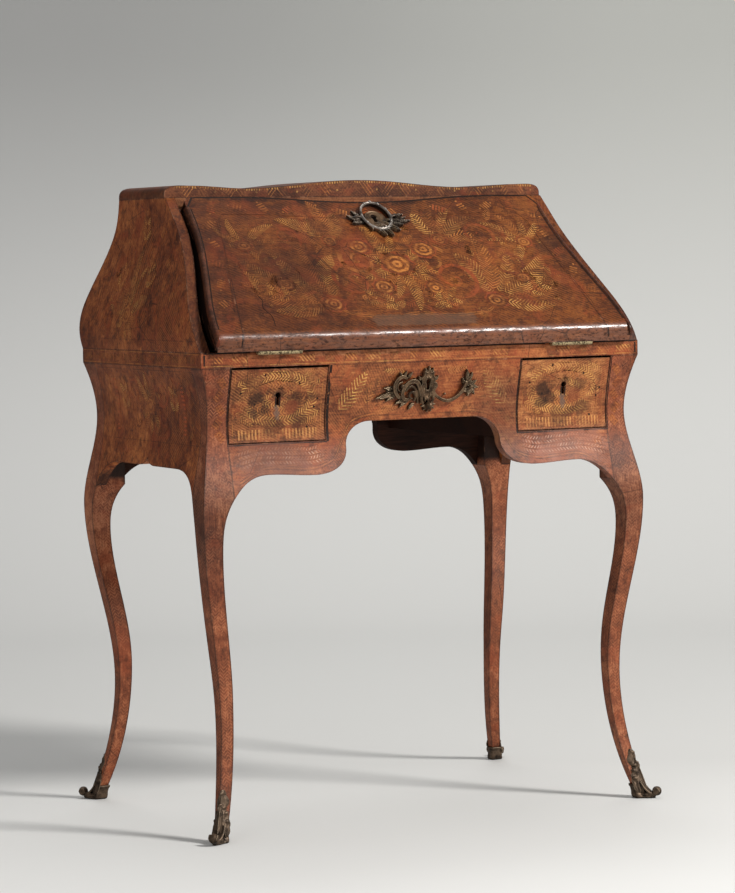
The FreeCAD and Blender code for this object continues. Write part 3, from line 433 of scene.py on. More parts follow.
for side, sign in SIDES:
    WOODS[side + "_drawer"] = wood((82, 42, 21), (142, 82, 45), (192, 128, 76), hatch_turn=-0.5 * sign,
                                   hatch=0.34, stains=drawer_stains(sign), moss=tint(134, 88, 42))
KNEES = tuple(((x, -0.215, 0.48), 0.1, (0.66, 0.72, 0.8)) for x in (-0.35, 0.335))
PLAIN_WOODS = {
    "leg": wood((88, 44, 27), (132, 71, 44), (186, 118, 80), LONG_Z, name="leg_veneer", hatch=0.42,
                chevron=0.006, moss=tint(96, 56, 38), pitch=0.0052, arris=0.95, rub=0.25, worn_edge=0.0055,
                tones=KNEES, inside=(0.518, 0.528)),
    "moulding": wood((40, 22, 15), (66, 37, 25), (104, 62, 41), name="moulding_wood", hatch=0.0, gloss=0.4,
                     hatch_turn=0.8, arris=0.3),
    "fitted": wood((86, 46, 27), (130, 78, 46), (166, 110, 70), name="fitted_wood", hatch=0.0),
}
BRONZES = {
    "bronze": ("mount_bronze", (40, 28, 20), (126, 99, 74), (216, 192, 156)),
    "dark_bronze": ("escutcheon_bronze", (18, 13, 10), (72, 56, 44), (214, 196, 176), 0.28),
    # The escutcheon ring's pale, silvery bronze is partly rubbed wear and partly a painted highlight.
    "worn_and_highlit_bronze": ("rubbed_bronze", (84, 74, 66), (184, 174, 164), (250, 246, 240), 0.24),
    "shoe_bronze": ("shoe_bronze", (34, 26, 20), (116, 96, 78), (200, 180, 152), 0.4),
    "brass": ("hinge_brass", (30, 22, 14), (112, 90, 60), (214, 192, 148), 0.36, 0.85),
}
mats = {key: veneer(key + "_veneer", **look) for key, look in WOODS.items()}
inlaid = {key: veneer(key + "_inlay", inlaid=True, **look) for key, look in WOODS.items()}
mats.update({key: veneer(**look) for key, look in PLAIN_WOODS.items()})
mats.update({key: bronze(*look) for key, look in BRONZES.items()})
# Painted shade: the carcass wood is made nearly black so that its bare inner faces read as lying in shade;
# only faces that look back get a lighter brown.
mats["bare"] = bare_wood("carcass_wood", tint(26, 12, 8), tint(62, 33, 21), LONG_X)
mats["inner"] = bare_wood("drawer_wood", tint(74, 47, 29), tint(148, 104, 66), LONG_Y)
mats["steel"] = steel("lock_steel")


def finish_of(name):
    """Which finish a piece has, told by its name. The first rule that holds decides."""
    box = ("_left_side", "_right_side", "_back", "_bottom", "_box")
    fitted = ("inner_drawer_front", "_shelf", "_cover", "_rail", "upright", "divider")
    rules = (("bronze", name.endswith(("_shoe", "_mount", "_escutcheon"))),
             ("brass", "hinge" in name or name.endswith("knob")),
             ("steel", name.endswith("_lock")),
             ("inner", "drawer" in name and name.endswith(box)),
             ("fitted", name.endswith(fitted)),
             ("side", name.startswith("case_") or name in ("left_apron", "right_apron")),
             ("leg", name.endswith("_leg")),
             ("crest", name == "top_board"),
             ("lid", name.startswith("lid_")),
             ("frieze", name in ("front_apron", "writing_bed")),
             ("left_drawer", name == "left_drawer_front"),
             ("right_drawer", name == "right_drawer_front"))
    return next((finish for finish, holds in rules if holds), "bare")


for name in nodes:
    mesh = nodes[name].data
    mesh.materials.clear()
    mesh.materials.append(mats[finish_of(name)])


# Marquetry

class Ground:
    """The face of some pieces, reached by straight rays from a flat chart in millimetres."""

    def __init__(self, names, origin=(0, 0, 0), across=(1, 0, 0), up=(0, 0, 1)):
        points, faces = [], []
        for name in names:
            mesh = nodes[name].data
            start = len(points)
            points += [v.co.copy() for v in mesh.vertices]
            faces += [[start + i for i in f.vertices] for f in mesh.polygons]
        self.tree = BVHTree.FromPolygons(points, faces)
        self.origin, self.across, self.up = Vector(origin), Vector(across), Vector(up)
        self.out = self.across.cross(self.up)

    def touch(self, a, b):
        """Place and normal where a ray meets the face, or None."""
        start = self.origin + self.across * (a * MM) + self.up * (b * MM) + self.out * 0.6
        place, normal, _, _ = self.tree.ray_cast(start, -self.out)
        return None if place is None or normal.dot(self.out) < 0.2 else (place, normal)

    def hit(self, a, b):
        found = self.touch(a, b)
        return found and found[0]

    def side(self, b, sign, inside=120.0, outside=420.0):
        """How far the top face reaches across at one height of the chart."""
        floor = self.out.dot(self.hit(sign * inside, b)) - 0.0005
        for _ in range(24):
            middle = (inside + outside) / 2
            spot = self.hit(sign * middle, b)
            on_face = spot and self.out.dot(spot) > floor
            inside, outside = (middle, outside) if on_face else (inside, middle)
        return sign * inside

    def top(self, a, inside, outside):
        """How far the face reaches up at one place across the chart."""
        for _ in range(24):
            middle = (inside + outside) / 2
            inside, outside = (middle, outside) if self.hit(a, middle) else (inside, middle)
        return inside


STRAW, HONEY, RUSSET = tint(222, 166, 88), tint(194, 124, 62), tint(158, 74, 38)
OLIVE, UMBER, PLUM = tint(128, 98, 50), tint(62, 34, 22), tint(98, 44, 30)
COAL, JET, TAR = tint(16, 9, 6), tint(14, 8, 6), tint(24, 13, 9)
THICK = 0.3
NO_RINGS = 0.01


def way_of(degrees):
    turn = math.radians(degrees)
    return np.array([math.cos(turn), math.sin(turn)])


def bowed(root, tip, bend, t):
    """Points on a line from root to tip that bows to one side."""
    root, tip = np.array(root, float), np.array(tip, float)
    run = tip - root
    middle = (root + tip) / 2 + np.array([-run[1], run[0]]) / np.linalg.norm(run) * bend
    return (1 - t) ** 2 * root + 2 * t * (1 - t) * middle + t * t * tip


def unit_steps(line):
    """Direction of a line at each of its points."""
    step = np.gradient(line, axis=0)
    return step / np.maximum(np.linalg.norm(step, axis=1), 1e-6)[:, None]


def lengths(line):
    """Length along a line up to each of its points."""
    return np.concatenate([[0], np.cumsum(np.linalg.norm(np.diff(line, axis=0), axis=1))])


def level(first, last, height, count):
    return np.stack([np.linspace(first, last, count), np.full(count, height)], 1)


def upright(across, first, last, count):
    return np.stack([np.full(count, across), np.linspace(first, last, count)], 1)


def mirrored(sign, points):
    return [(sign * x, y) for x, y in points]


class Inlay:
    """Thin inlaid pieces on one ground, gathered into one mesh that rides on a body."""

    def __init__(self, name, body, ground):
        self.name, self.body, self.ground = name, body, ground
        self.points, self.under, self.faces = [], [], []
        self.flat, self.light, self.style = [], [], []

    def sheet(self, chart, flat, light, strength=0.8, pitch=1000.0, slope=0.0, share=2.0, fold=1.0, lift=0.16,
              soft=False):
        """Sheet over a grid of chart points. A soft one fades towards its edges."""
        rows, columns = chart.shape[:2]
        index = np.full((rows, columns), -1)
        for i, j in np.ndindex(rows, columns):
            found = self.ground.touch(*chart[i, j])
            if not found:
                continue
            place, normal = found
            index[i, j] = len(self.points)
            self.points.append(place + normal * (lift * MM))
            self.under.append(place - normal * (THICK * MM))
            self.flat.append(flat[i, j])
            edge = 1.0
            if soft:
                edge = (1 - abs(2 * j / (columns - 1) - 1) ** 3) * (1 - abs(2 * i / (rows - 1) - 1) ** 5)
            self.light.append(light[:3] + (strength * edge,))
            self.style.append((pitch, slope, share, fold))
        for i, j in np.ndindex(rows - 1, columns - 1):
            corners = [index[i, j], index[i, j + 1], index[i + 1, j + 1], index[i + 1, j]]
            if min(corners) >= 0:
                self.faces.append([int(c) for c in corners])

    def along(self, spine, half, light, columns=5, **style):
        """Strip along a line of points, with a half width at each."""
        spine = np.asarray(spine, float)
        half = np.asarray(half, float) * np.ones(len(spine))
        step = unit_steps(spine)
        normal = np.stack([-step[:, 1], step[:, 0]], 1)
        across = np.linspace(-1, 1, columns)
        chart = spine[:, None] + normal[:, None] * (half[:, None] * across)[:, :, None]
        flat = np.stack([np.repeat(lengths(spine)[:, None], columns, 1), half[:, None] * across], 2)
        self.sheet(chart, flat, light, **style)

    def wash(self, spine, half, light, strength, lift, columns=7):
        """Soft plain strip."""
        self.along(spine, half, light, columns=columns, strength=strength, lift=lift, soft=True)

    def leaf(self, root, tip, bend, wide, light, strength=0.4, lift=0.16, **style):
        """Plain or striped leaf on a bowed spine."""
        t = np.linspace(0, 1, 24)
        half = wide * np.sin(np.pi * np.clip(t, 0.004, 0.996) ** 0.8) ** 0.62
        spine = bowed(root, tip, bend, t[:, None])
        self.along(spine, half, light, strength=strength, lift=lift, **style)

    def plume(self, root, tip, bend, wide, pitch=5.0, light=STRAW, lift=0.2, strength=0.9):
        """Herringbone leaf."""
        self.leaf(root, tip, bend, wide, light, strength, lift, pitch=pitch, slope=-0.9, share=0.32)

    def line(self, points, wide, colour, lift=0.14, strength=0.7):
        self.along(points, wide / 2, colour, columns=3, lift=lift, strength=strength)

    def bars(self, centre, turn, long, wide, pitch=4.6, lean=0.0, light=HONEY, share=0.45, strength=0.6):
        """Row of parallel bars, turned by some degrees."""
        spine = np.array(centre) + np.outer(np.linspace(-long / 2, long / 2, 9), way_of(turn))
        self.along(spine, wide / 2, light, pitch=pitch, slope=lean, share=share, fold=0.0, lift=0.18,
                   strength=strength)

    def rosette(self, centre, radius, petals=8, light=HONEY, lift=0.24, squash=1.0, depth=0.08, strength=0.65,
                rings=2.1):
        """Flower of rings, or a plain one."""
        turn = np.linspace(0, 2 * math.pi, 41)
        reach = np.linspace(0.02, 1, 9)
        edge = radius * (1 + depth * np.cos(petals * turn))
        chart = np.zeros((41, 9, 2))
        chart[:, :, 0] = centre[0] + np.outer(edge * np.cos(turn), reach)
        chart[:, :, 1] = centre[1] + np.outer(edge * np.sin(turn), reach) * squash
        flat = np.zeros((41, 9, 2))
        flat[:, :, 0] = reach[None] * radius
        share = 2.0 if rings == NO_RINGS else 0.5
        self.sheet(chart, flat, light, strength=strength, pitch=radius / rings, share=share, lift=lift)

    def dot(self, centre, radius, light, lift, strength):
        self.rosette(centre, radius, 3, light, lift, strength=strength, rings=NO_RINGS)

    def rims(self):
        """Edges that only one face has."""
        rims = set()
        for face in self.faces:
            for pair in zip(face, face[1:] + face[:1]):
                if pair[::-1] in rims:
                    rims.remove(pair[::-1])
                else:
                    rims.add(pair)
        return sorted(rims)

    def make(self, material):
        """Mesh of all sheets: top, underside and rims, with sharp edges between them."""
        count = len(self.points)
        source = list(range(count)) * 2
        points = self.points + self.under
        faces = list(self.faces) + [[count + i for i in reversed(face)] for face in self.faces]
        flat_from = len(faces)
        for first, second in self.rims():
            start = len(points)
            source += [first, first, second, second]
            points += [self.points[first], self.under[first], self.under[second], self.points[second]]
            faces.append([start, start + 1, start + 2, start + 3])
        mesh = bpy.data.meshes.new(self.name)
        mesh.from_pydata(points, [], faces)
        self.paint(mesh, np.array(source))
        mesh.polygons.foreach_set("use_smooth", [i < flat_from for i in range(len(faces))])
        mesh.materials.append(material)
        made = add_object(self.name, mesh)
        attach(made, self.body)

    def paint(self, mesh, source):
        """Pattern coordinates, colours and styles, taken from the sheet point that each vertex comes from."""
        layer = mesh.uv_layers.new(name="pattern")
        loops = np.zeros(len(mesh.loops), int)
        mesh.loops.foreach_get("vertex_index", loops)
        layer.data.foreach_set("uv", (np.array(self.flat, np.float32)[source[loops]] * 0.01).ravel())
        for title, values in (("light", self.light), ("style", self.style)):
            colours = mesh.attributes.new(title, "FLOAT_COLOR", "POINT")
            colours.data.foreach_set("color", np.array(values, np.float32)[source].ravel())


def curve(points, count=24):
    """Smooth line through a few points."""
    points = np.array(points, float)
    ends = np.concatenate([[2 * points[0] - points[1]], points, [2 * points[-1] - points[-2]]])
    t = np.linspace(0, 1, count, endpoint=False)[:, None]
    line = []
    for p0, p1, p2, p3 in zip(ends, ends[1:], ends[2:], ends[3:]):
        square, cube = 2 * p0 - 5 * p1 + 4 * p2 - p3, 3 * p1 - p0 - 3 * p2 + p3
        line.append(0.5 * (2 * p1 + (p2 - p0) * t + square * t ** 2 + cube * t ** 3))
    return np.concatenate(line + [points[-1:]])


LID_TURN = math.radians(43.7)
LID_FOOT = (0.0, -0.226, 0.7246)
LID_FACE = 23.8
lid_ground = Ground(["lid_panel", "lid_left_clamp", "lid_right_clamp"], LID_FOOT,
                    up=(0.0, math.cos(LID_TURN), math.sin(LID_TURN)))
front_ground = Ground(["front_apron", "writing_bed", "front_left_leg", "front_right_leg"])


def lid_place(a, b, h):
    """Place at a height over the lid's face."""
    shift = lid_ground.across * a + lid_ground.up * b + lid_ground.out * (LID_FACE + h)
    return lid_ground.origin + shift * MM


def lid_frame(inset):
    """Line that follows the lid's outline at one inset."""
    heights = np.linspace(20 + inset, 292 - inset, 22)
    left = [(lid_ground.side(b, -1) + inset, b) for b in heights]
    right = [(lid_ground.side(b, 1) - inset, b) for b in heights[::-1]]
    tops = np.linspace(left[-1][0] + 14, right[0][0] - 14, 40)
    top = [(a, lid_ground.top(a, 200.0, 330.0) - inset) for a in tops]
    return np.array(left + top + right)


def fan(inlay, root, first, last, count, long, wide, pitch, flip=1.0, strong=1.0):
    """Spray of plumes from one root, each on a darker or warmer leaf and worn to its own degree."""
    for i in range(count):
        share = i / (count - 1)
        way = way_of(first + (last - first) * share)
        reach = long * (0.74 + 0.26 * math.sin(math.pi * share) + 0.1 * math.sin(2.4 * i))
        foot, tip = np.array(root) + 0.16 * reach * way, np.array(root) + reach * way
        bend = flip * 0.16 * reach
        broad = wide * (0.85 + 0.2 * math.cos(1.7 * i))
        inlay.leaf(foot, tip, bend, broad * 1.25, (RUSSET, OLIVE, PLUM)[i % 3], 0.36, 0.10, soft=True)
        inlay.plume(foot, tip, bend, broad, pitch, (STRAW, HONEY, STRAW)[i % 3], 0.14 + 0.02 * (i % 2),
                    strong * (0.62 + 0.26 * math.sin(3.1 * i + root[0])))


def spray(inlay, root, turn, size, pitch):
    """Stem with pairs of small leaves and a bud."""
    way = way_of(turn)
    off = np.array([-way[1], way[0]])
    root = np.array(root, float)
    stem = curve([root, root + way * size * 0.5 + off * size * 0.06, root + way * size], 8)
    inlay.line(stem, 1.4, HONEY, 0.2, 0.5)
    for i, share in enumerate((0.28, 0.5, 0.72)):
        for sign in (-1, 1):
            foot = root + way * size * share
            tip = foot + (way * 0.3 + off * sign * 0.34) * size * (0.9 - 0.3 * share)
            inlay.plume(foot, tip, sign * 3.0, size * 0.085, pitch, (STRAW, HONEY)[i % 2], 0.22)
    inlay.rosette(root + way * size, size * 0.12, 5)


def volute(inlay, centre, radius, turns, start, wide, colour, strength):
    """Scroll that winds in to its middle from a direction in degrees, widest at its outer end."""
    t = np.linspace(0, 1, 44)
    reach = radius * (1 - t) ** 0.8 + 1.0
    angle = math.radians(start) + turns * 2 * math.pi * t
    spine = np.stack([centre[0] + reach * np.cos(angle), centre[1] + reach * np.sin(angle)], 1)
    inlay.along(spine, wide / 2 * (1 - 0.75 * t), colour, columns=3, strength=strength, lift=0.15)


def scatter(inlay, spots, size, pitch):
    """Single small leaves that fill the ground, most of them worn faint."""
    golden_turn = math.degrees(2.39996)
    for i, root in enumerate(spots):
        long = size * (0.8 + 0.4 * math.sin(1.9 * i))
        tip = np.array(root) + long * way_of(golden_turn * i)
        bend = 3.0 * (-1) ** i
        inlay.leaf(root, tip, bend, long * 0.26, (RUSSET, PLUM, OLIVE, UMBER)[i % 4], 0.42, 0.06, soft=True)
        inlay.plume(root, tip, bend, long * 0.2, pitch, (HONEY, STRAW, RUSSET)[i % 3], 0.09,
                    0.5 + 0.3 * math.sin(2.7 * i))


# Marquetry of the lid

def lid_edges(inlay):
    """Darkened rim, painted shadow round the lid's edge and under the crest, frame lines, seams of the
    clamped ends, a crack, and painted shade as the keyhole's dark ground.
    """
    inlay.wash(lid_frame(19.0), 17.0, UMBER, 0.5, 0.05)
    inlay.wash(level(-286, 286, 27.0, 40), 12.0, UMBER, 0.4, 0.04)
    # Painted shade: a black disc as the dark ground under the escutcheon's keyhole.
    inlay.dot((-1, 258), 15.0, JET, 0.34, 0.97)
    # Painted shadow: a black line round the lid's outer edge, and a dark wash along its top edge under the
    # crest.
    inlay.line(lid_frame(1.8), 3.2, COAL, 0.1, 0.95)
    inlay.wash(lid_frame(6.0)[20:-20], 7.0, tint(30, 16, 11), 0.85, 0.08)
    quirk = lid_frame(6.2)
    for edge in (quirk[:22], quirk[-22:]):
        inlay.line(edge, 2.0, JET, 0.12, 0.95)
    inlay.line(lid_frame(40.0), 1.2, UMBER, 0.26, 0.7)
    seams = ((14, 264, 50, 1.4, TAR, 0.13, 0.75), (0.5, 15, 14, 2.0, COAL, 0.14, 0.95))
    for sign in (-1, 1):
        for first, last, count, *look in seams:
            inlay.line([(sign * (317.5 - 0.19 * t), t) for t in np.linspace(first, last, count)], *look)
    crack = curve([(-262, 96), (-258, 84), (-262, 68), (-254, 50), (-256, 30)], 6)
    inlay.line(crack, 1.2, tint(22, 12, 8), 0.2, 0.95)


def lid_border(inlay):
    """Groups of bars and dots inside the lid's edge."""
    border = lid_frame(25.0)
    run = lengths(border)
    for i, at in enumerate(np.arange(34.0, run[-1] - 20, 44.0)):
        spot = np.array([np.interp(at, run, border[:, k]) for k in (0, 1)])
        lean = (28, 68, -24, 112)[i % 4]
        light = tint(186, 92, 50) if i % 3 == 2 else HONEY
        inlay.bars(spot, lean, 15 + 4 * (i % 3), 13, 5.2, light=light, strength=0.7)
        for k in (-14, 14):
            inlay.dot(spot + k * way_of(lean), 1.8, HONEY, 0.12, 0.6)


def lid_foliage(inlay, sign, pitch, strong):
    """Fans, scrolls and sprays on one half of the lid."""
    fans = ((142, 74, 18, -96, 6, 150, 18.5, pitch, -1, strong),
            (246, 204, 150, -40, 7, 74, 8.5, pitch - 0.8, -1, strong),
            (96, 212, 20, -84, 5, 92, 13.5, pitch - 0.4, 1, strong),
            (252, 92, 60, -40, 5, 60, 8.0, 4.6, 1, strong), (54, 60, 64, -64, 5, 52, 7.5, 4.6, 1, 1.0))
    for x, y, first, last, count, long, wide, gap, flip, share in fans:
        first, last = 90 + sign * first, 90 + sign * last
        fan(inlay, (sign * x, y), first, last, count, long, wide, gap, sign * flip, share)
    scrolls = ((88, 124, 44, 1.6, 110, 10.0, RUSSET, 0.6), (64, 168, 30, 1.4, -60, 8.0, HONEY, 0.42),
               (200, 160, 34, 1.5, 30, 8.0, PLUM, 0.6), (168, 222, 28, 1.4, -120, 7.0, RUSSET, 0.5))
    for x, y, radius, turns, start, *look in scrolls:
        volute(inlay, (sign * x, y), radius, turns, 90 + sign * start, *look)
    for shift in (0, 4):
        stem = ((4, 48 + shift), (60, 42 + shift), (118, 50 + shift), (142, 74 + shift))
        inlay.line(curve(mirrored(sign, stem), 8), 1.6, HONEY, 0.1, 0.5)
    spray(inlay, (sign * 196, 84), 90 - sign * 62, 60, 4.6)
    spray(inlay, (sign * 22, 70), 90 - sign * 76, 62, 4.4)


def lid_rosettes(inlay):
    flowers = ((-142, 74, 18), (142, 74, 18), (0, 158, 27), (-52, 198, 19), (58, 190, 20), (-42, 108, 18),
               (46, 104, 17), (-246, 204, 13), (246, 204, 13), (-96, 212, 13), (96, 212, 13), (-206, 118, 14),
               (210, 122, 13))
    for x, y, r in flowers:
        inlay.rosette((x, y), r * 1.14, 9, RUSSET, 0.16, 0.9, 0.08, 0.6, NO_RINGS)
        inlay.rosette((x, y), r * 0.98, 11, PLUM, 0.18, 0.9, 0.05, 0.8, NO_RINGS)
        inlay.rosette((x, y), r * 0.9, 7 + r % 3, HONEY, 0.2, 0.9, 0.03, 0.75 if r > 16 else 0.5)


def lid_marquetry():
    inlay = Inlay("lid_marquetry", "lid", lid_ground)
    lid_edges(inlay)
    lid_border(inlay)
    lid_foliage(inlay, -1, 4.8, 0.95)
    lid_foliage(inlay, 1, 6.2, 1.04)
    fan(inlay, (0, 158), 24, 156, 6, 88, 10.5, 4.8)
    fan(inlay, (0, 158), 204, 336, 7, 96, 11.0, 5.2)
    lid_rosettes(inlay)
    scatter(inlay, [(-282 + (i * 137.5) % 564, 54 + (i * 61.8) % 214) for i in range(96)], 27, 4.6)
    inlay.make(inlaid["lid"])


# Marquetry of the frieze

def frieze_leaves(inlay, sign):
    leaves = ((146, 632, 102, 690, 5.0, 14.0, 6.4, STRAW, 0.66 if sign < 0 else 0.9),
              (100, 640, 76, 686, -4.0, 9.0, 5.0, HONEY, 0.6), (86, 630, 40, 634, 3.0, 6.0, 4.4, HONEY, 0.5),
              (36, 688, 72, 692, -3.0, 5.5, 4.4, STRAW, 0.6),
              (164, 690, 146, 640, -2.0, 5.0, 4.0, RUSSET, 0.6))
    for x, z, tip_x, tip_z, bend, wide, pitch, light, strength in leaves:
        inlay.plume((sign * x, z), (sign * tip_x, tip_z), sign * bend, wide, pitch, light, strength=strength)


def frieze_lobe(inlay, sign):
    """Lines along the lower edge and rows of stitches above it."""
    edge = curve(mirrored(sign, ((60, 622.5), (90, 622), (124, 612), (143, 580), (160, 556), (196, 545.5),
                                 (240, 547.5), (276, 548), (318, 528))), 8)
    inlay.line(edge, 1.4, UMBER, 0.1, 0.85)
    inlay.line(edge + [0, 4.6], 1.2, UMBER, 0.1, 0.7)
    inlay.line(edge + [0, 2.3], 1.4, HONEY, 0.12, 0.3)
    path = np.array(mirrored(sign, ((172, 552), (198, 547), (238, 549), (280, 550), (324, 540))))
    for rise, pitch, slope in ((9, 5.6, 0.7), (16, 5.2, -0.7), (23, 5.6, 0.7), (30, 5.2, -0.7)):
        row = curve(path + [0, rise], 8)
        inlay.along(row, 2.8, tint(232, 190, 160), columns=7, pitch=pitch, slope=slope, share=0.36, fold=0.0,
                    strength=0.62, lift=0.1, soft=True)
        inlay.line(row + [0, 3.5], 0.9, UMBER, 0.08, 0.5)


def frieze_lines(inlay, sign):
    """Herringbone and dots on the stile, dark lines along it, and painted shadow in the gaps round the drawer
    and in the notch at the bed's corner.
    """
    for i, z in enumerate(np.arange(600.0, 700.0, 20.0)):
        inlay.bars((sign * (342 + 4 * (i % 2)), z), 52 if i % 2 else 128, 17, 11, 4.0, strength=0.36)
    inlay.line(upright(sign * 170.5, 592, 702, 12), 1.0, UMBER)
    inlay.line(upright(sign * 371.0, 588, 700, 15), 2.0, TAR, 0.1, 0.9)
    # Painted shade: a black mark in the notch at the bed's corner.
    inlay.line(upright(sign * 373.0, 706, 722, 5), 2.6, JET, 0.3, 0.95)
    # Painted shadow: black lines in the gaps beside and below the drawer.
    gaps = ((163.9, 4.4), (330.4, 1.8)) if sign < 0 else ((165.6, 2.0), (330.4, 3.0))
    for x, wide in gaps:
        inlay.line(upright(sign * x, 587, 702, 24), wide, COAL, 0.08, 0.95)
    inlay.line(level(sign * 165, sign * 331, 586.2, 30), 1.8, COAL, 0.08, 0.95)
    for z in range(596, 700, 13):
        inlay.dot((sign * 366.5, z), 1.1, tint(20, 11, 7), 0.1, 0.85)


def frieze_band(inlay):
    """Band of bars along the edge of the writing bed, with painted shadow in the gap under the lid's nose and
    painted light that takes out the nose's cast shadow.
    """
    inlay.line(level(-60, 60, 622.5, 20), 1.1, UMBER)
    inlay.line(level(-374, 374, 705.2, 60), 1.4, STRAW, 0.1, 0.42)
    # Painted shadow: a black line in the gap under the lid's nose. Painted light: a pale wash below it takes
    # out the nose's cast shadow on the band.
    inlay.line(level(-374, 374, 724.0, 60), 1.8, tint(12, 7, 5), 0.1, 0.96)
    inlay.wash(level(-374, 374, 719.5, 60), 4.4, tint(216, 140, 96), 0.62, 0.06, 5)
    groups = ((19.0, 0.9, HONEY, 0.75), (26.0, 0.9, STRAW, 0.68), (14.0, -0.9, OLIVE, 0.5))
    for i, x in enumerate(np.arange(-352.0, 360.0, 37.0)):
        long, lean, light, strength = groups[i % 3]
        inlay.bars((x, 714), 0, long, 10.0, 6.0, lean, light, 0.42, strength)


def frieze_marquetry():
    inlay = Inlay("frieze_marquetry", "carcass", front_ground)
    for sign in (-1, 1):
        frieze_leaves(inlay, sign)
        frieze_lobe(inlay, sign)
        frieze_lines(inlay, sign)
    frieze_band(inlay)
    inlay.make(inlaid["frieze"])


# Marquetry of the drawers, sides and crest

def drawer_marquetry(name, sign):
    """Rings of herringbone round the keyhole, leaves, a row of bars, a frame line, and painted shade that
    widens the keyhole's slot.
    """
    inlay = Inlay("%s_drawer_marquetry" % name, "%s_drawer" % name, Ground(["%s_drawer_front" % name]))
    cx, cz = sign * DRAWER_MIDDLE, 654.0
    turn = np.linspace(0, 2 * math.pi, 73)
    for reach, high, half, light in ((58, 34, 8.0, STRAW), (40, 21, 7.0, HONEY), (24, 10, 6.0, STRAW)):
        ring = np.stack([cx + reach * np.cos(turn), cz + high * np.sin(turn)], 1)
        inlay.along(ring, half, light, pitch=5.0, slope=-0.85, share=0.36, lift=0.14, strength=0.9)
    for side in (-1, 1):
        foot, tip = (cx + side * 12, cz + 2), (cx + side * 52, cz + 4)
        inlay.leaf(foot, tip, side * 5.0, 9.0, PLUM, 0.5, 0.1, soft=True)
        leaves = ((70, -20, 40, -40, -4.0 * side, 7.0, 4.6, STRAW, 0.7),
                  (70, 20, 40, 40, 4.0 * side, 7.0, 4.6, STRAW, 0.7),
                  (66, 38, 44, 43, 2.0, 4.5, 3.8, HONEY, 0.9), (68, -32, 44, -38, 2.0, 4.5, 3.8, HONEY, 0.9))
        for x, z, tip_x, tip_z, bend, wide, pitch, light, strength in leaves:
            tip = (cx + side * tip_x, cz + tip_z)
            inlay.plume((cx + side * x, cz + z), tip, bend, wide, pitch, light, strength=strength)
    inlay.bars((cx, 601.0), 0, 132.0, 15.0, 5.6, light=tint(212, 150, 84), share=0.46, strength=0.75)
    inlay.line(level(cx - 72, cx + 72, 693.5, 16), 1.1, HONEY)
    for side in (-1, 1):
        inlay.line(upright(cx + side * 73, 594, 693, 16), 1.1, HONEY)
        # Painted shade: black lines beside the keyhole's slot make it look wider and deeper.
        inlay.line(upright(cx + side * 3.4, 656, 642, 15), 2.2, COAL, 0.3, 0.95)
    for x, z in ((-62, 664), (-38, 646), (61, 640), (66, 652), (34, 676), (-24, 690), (50, 610)):
        inlay.dot((cx + x, z), 1.7, tint(24, 14, 9), 0.3, 0.95)
    inlay.make(inlaid["%s_drawer" % name])


def case_foliage(inlay, mid):
    """Fans, sprays, scrolls and leaves on a side of the case."""
    fan(inlay, (mid, 780), 18, 162, 7, 96, 11.0, 4.6)
    fan(inlay, (mid, 780), 206, 334, 5, 48, 8.0, 4.2)
    inlay.rosette((mid, 780), 16, 8)
    spray(inlay, (mid, 880), 90, 54, 4.0)
    for reach in (-66, 66):
        spray(inlay, (mid + reach, 812), 90 + reach * 0.4, 52, 4.0)
        volute(inlay, (mid + reach, 776), 24, 1.4, 90 + reach, 7.0, RUSSET, 0.75)
        volute(inlay, (mid + reach * 0.6, 868), 22, 1.3, 90 - reach, 6.0, RUSSET, 0.7)
        foot = np.array((mid + reach * 1.1, 836))
        for turn, colour in ((20, PLUM), (80, RUSSET), (140, UMBER)):
            tip = foot + 40 * way_of(turn if reach > 0 else 180 - turn)
            inlay.leaf(foot, tip, 6.0, 9.0, colour, 0.6, 0.08, soft=True)


def apron_foliage(inlay):
    fan(inlay, (0, 640), 20, 160, 5, 60, 8.5, 4.6)
    fan(inlay, (0, 640), 200, 340, 5, 52, 8.0, 4.6)
    inlay.rosette((0, 640), 14, 7)
    for reach in (-92, 92):
        spray(inlay, (reach, 620), 90, 58, 4.0)
        volute(inlay, (reach * 0.55, 660), 22, 1.3, 90 + reach, 6.0, RUSSET, 0.75)
        volute(inlay, (reach * 0.5, 616), 18, 1.2, -90 - reach, 6.0, PLUM, 0.75)
        inlay.bars((reach * 1.36, 640), 90, 84.0, 11.0, 6.4, light=tint(182, 82, 42), strength=0.85)


def side_lines(inlay, sign):
    """Bands, frame lines and groups of bars on one side of the desk."""
    for z in (704.6, 723.0):
        inlay.line(level(-226, 226, z, 40), 1.2, HONEY)
    for i, y in enumerate(np.arange(-204.0, 206.0, 30.0)):
        lean, light = ((0.9, HONEY), (-0.9, OLIVE))[i % 2]
        inlay.bars((y, 714), 0, 24.0, 10.0, 5.2, lean, light, strength=0.45)
    for z in (586.0, 696.0):
        inlay.line(level(-176, 176, z, 40), 1.1, UMBER)
    for y in (-150, 150):
        for i, z in enumerate(range(600, 681, 16)):
            inlay.bars((y, z), (35, 145)[i % 2], 15, 11, 4.4)
    front = [(-196, 738), (-170, 764), (-124, 812), (-76, 862), (-34, 908)]
    inlay.line(curve([(sign * (y + 16), z) for y, z in front], 10), 1.2, UMBER)
    for i, (y, z) in enumerate(front):
        inlay.bars((sign * (y + 34), z - 4), (48, 132)[i % 2], 16, 11, 4.4)
    inlay.line(level(-190, 205, 742.0, 40), 1.2, UMBER)


def side_marquetry(name, sign):
    faces = ["case_%s_side", "%s_apron", "front_%s_leg", "back_%s_leg"]
    ground = Ground([face % name for face in faces] + ["writing_bed"], across=(0, sign, 0))
    inlay = Inlay("%s_side_marquetry" % name, "carcass", ground)
    case_foliage(inlay, 62.0 * sign)
    apron_foliage(inlay)
    side_lines(inlay, sign)
    inlay.make(inlaid["side"])


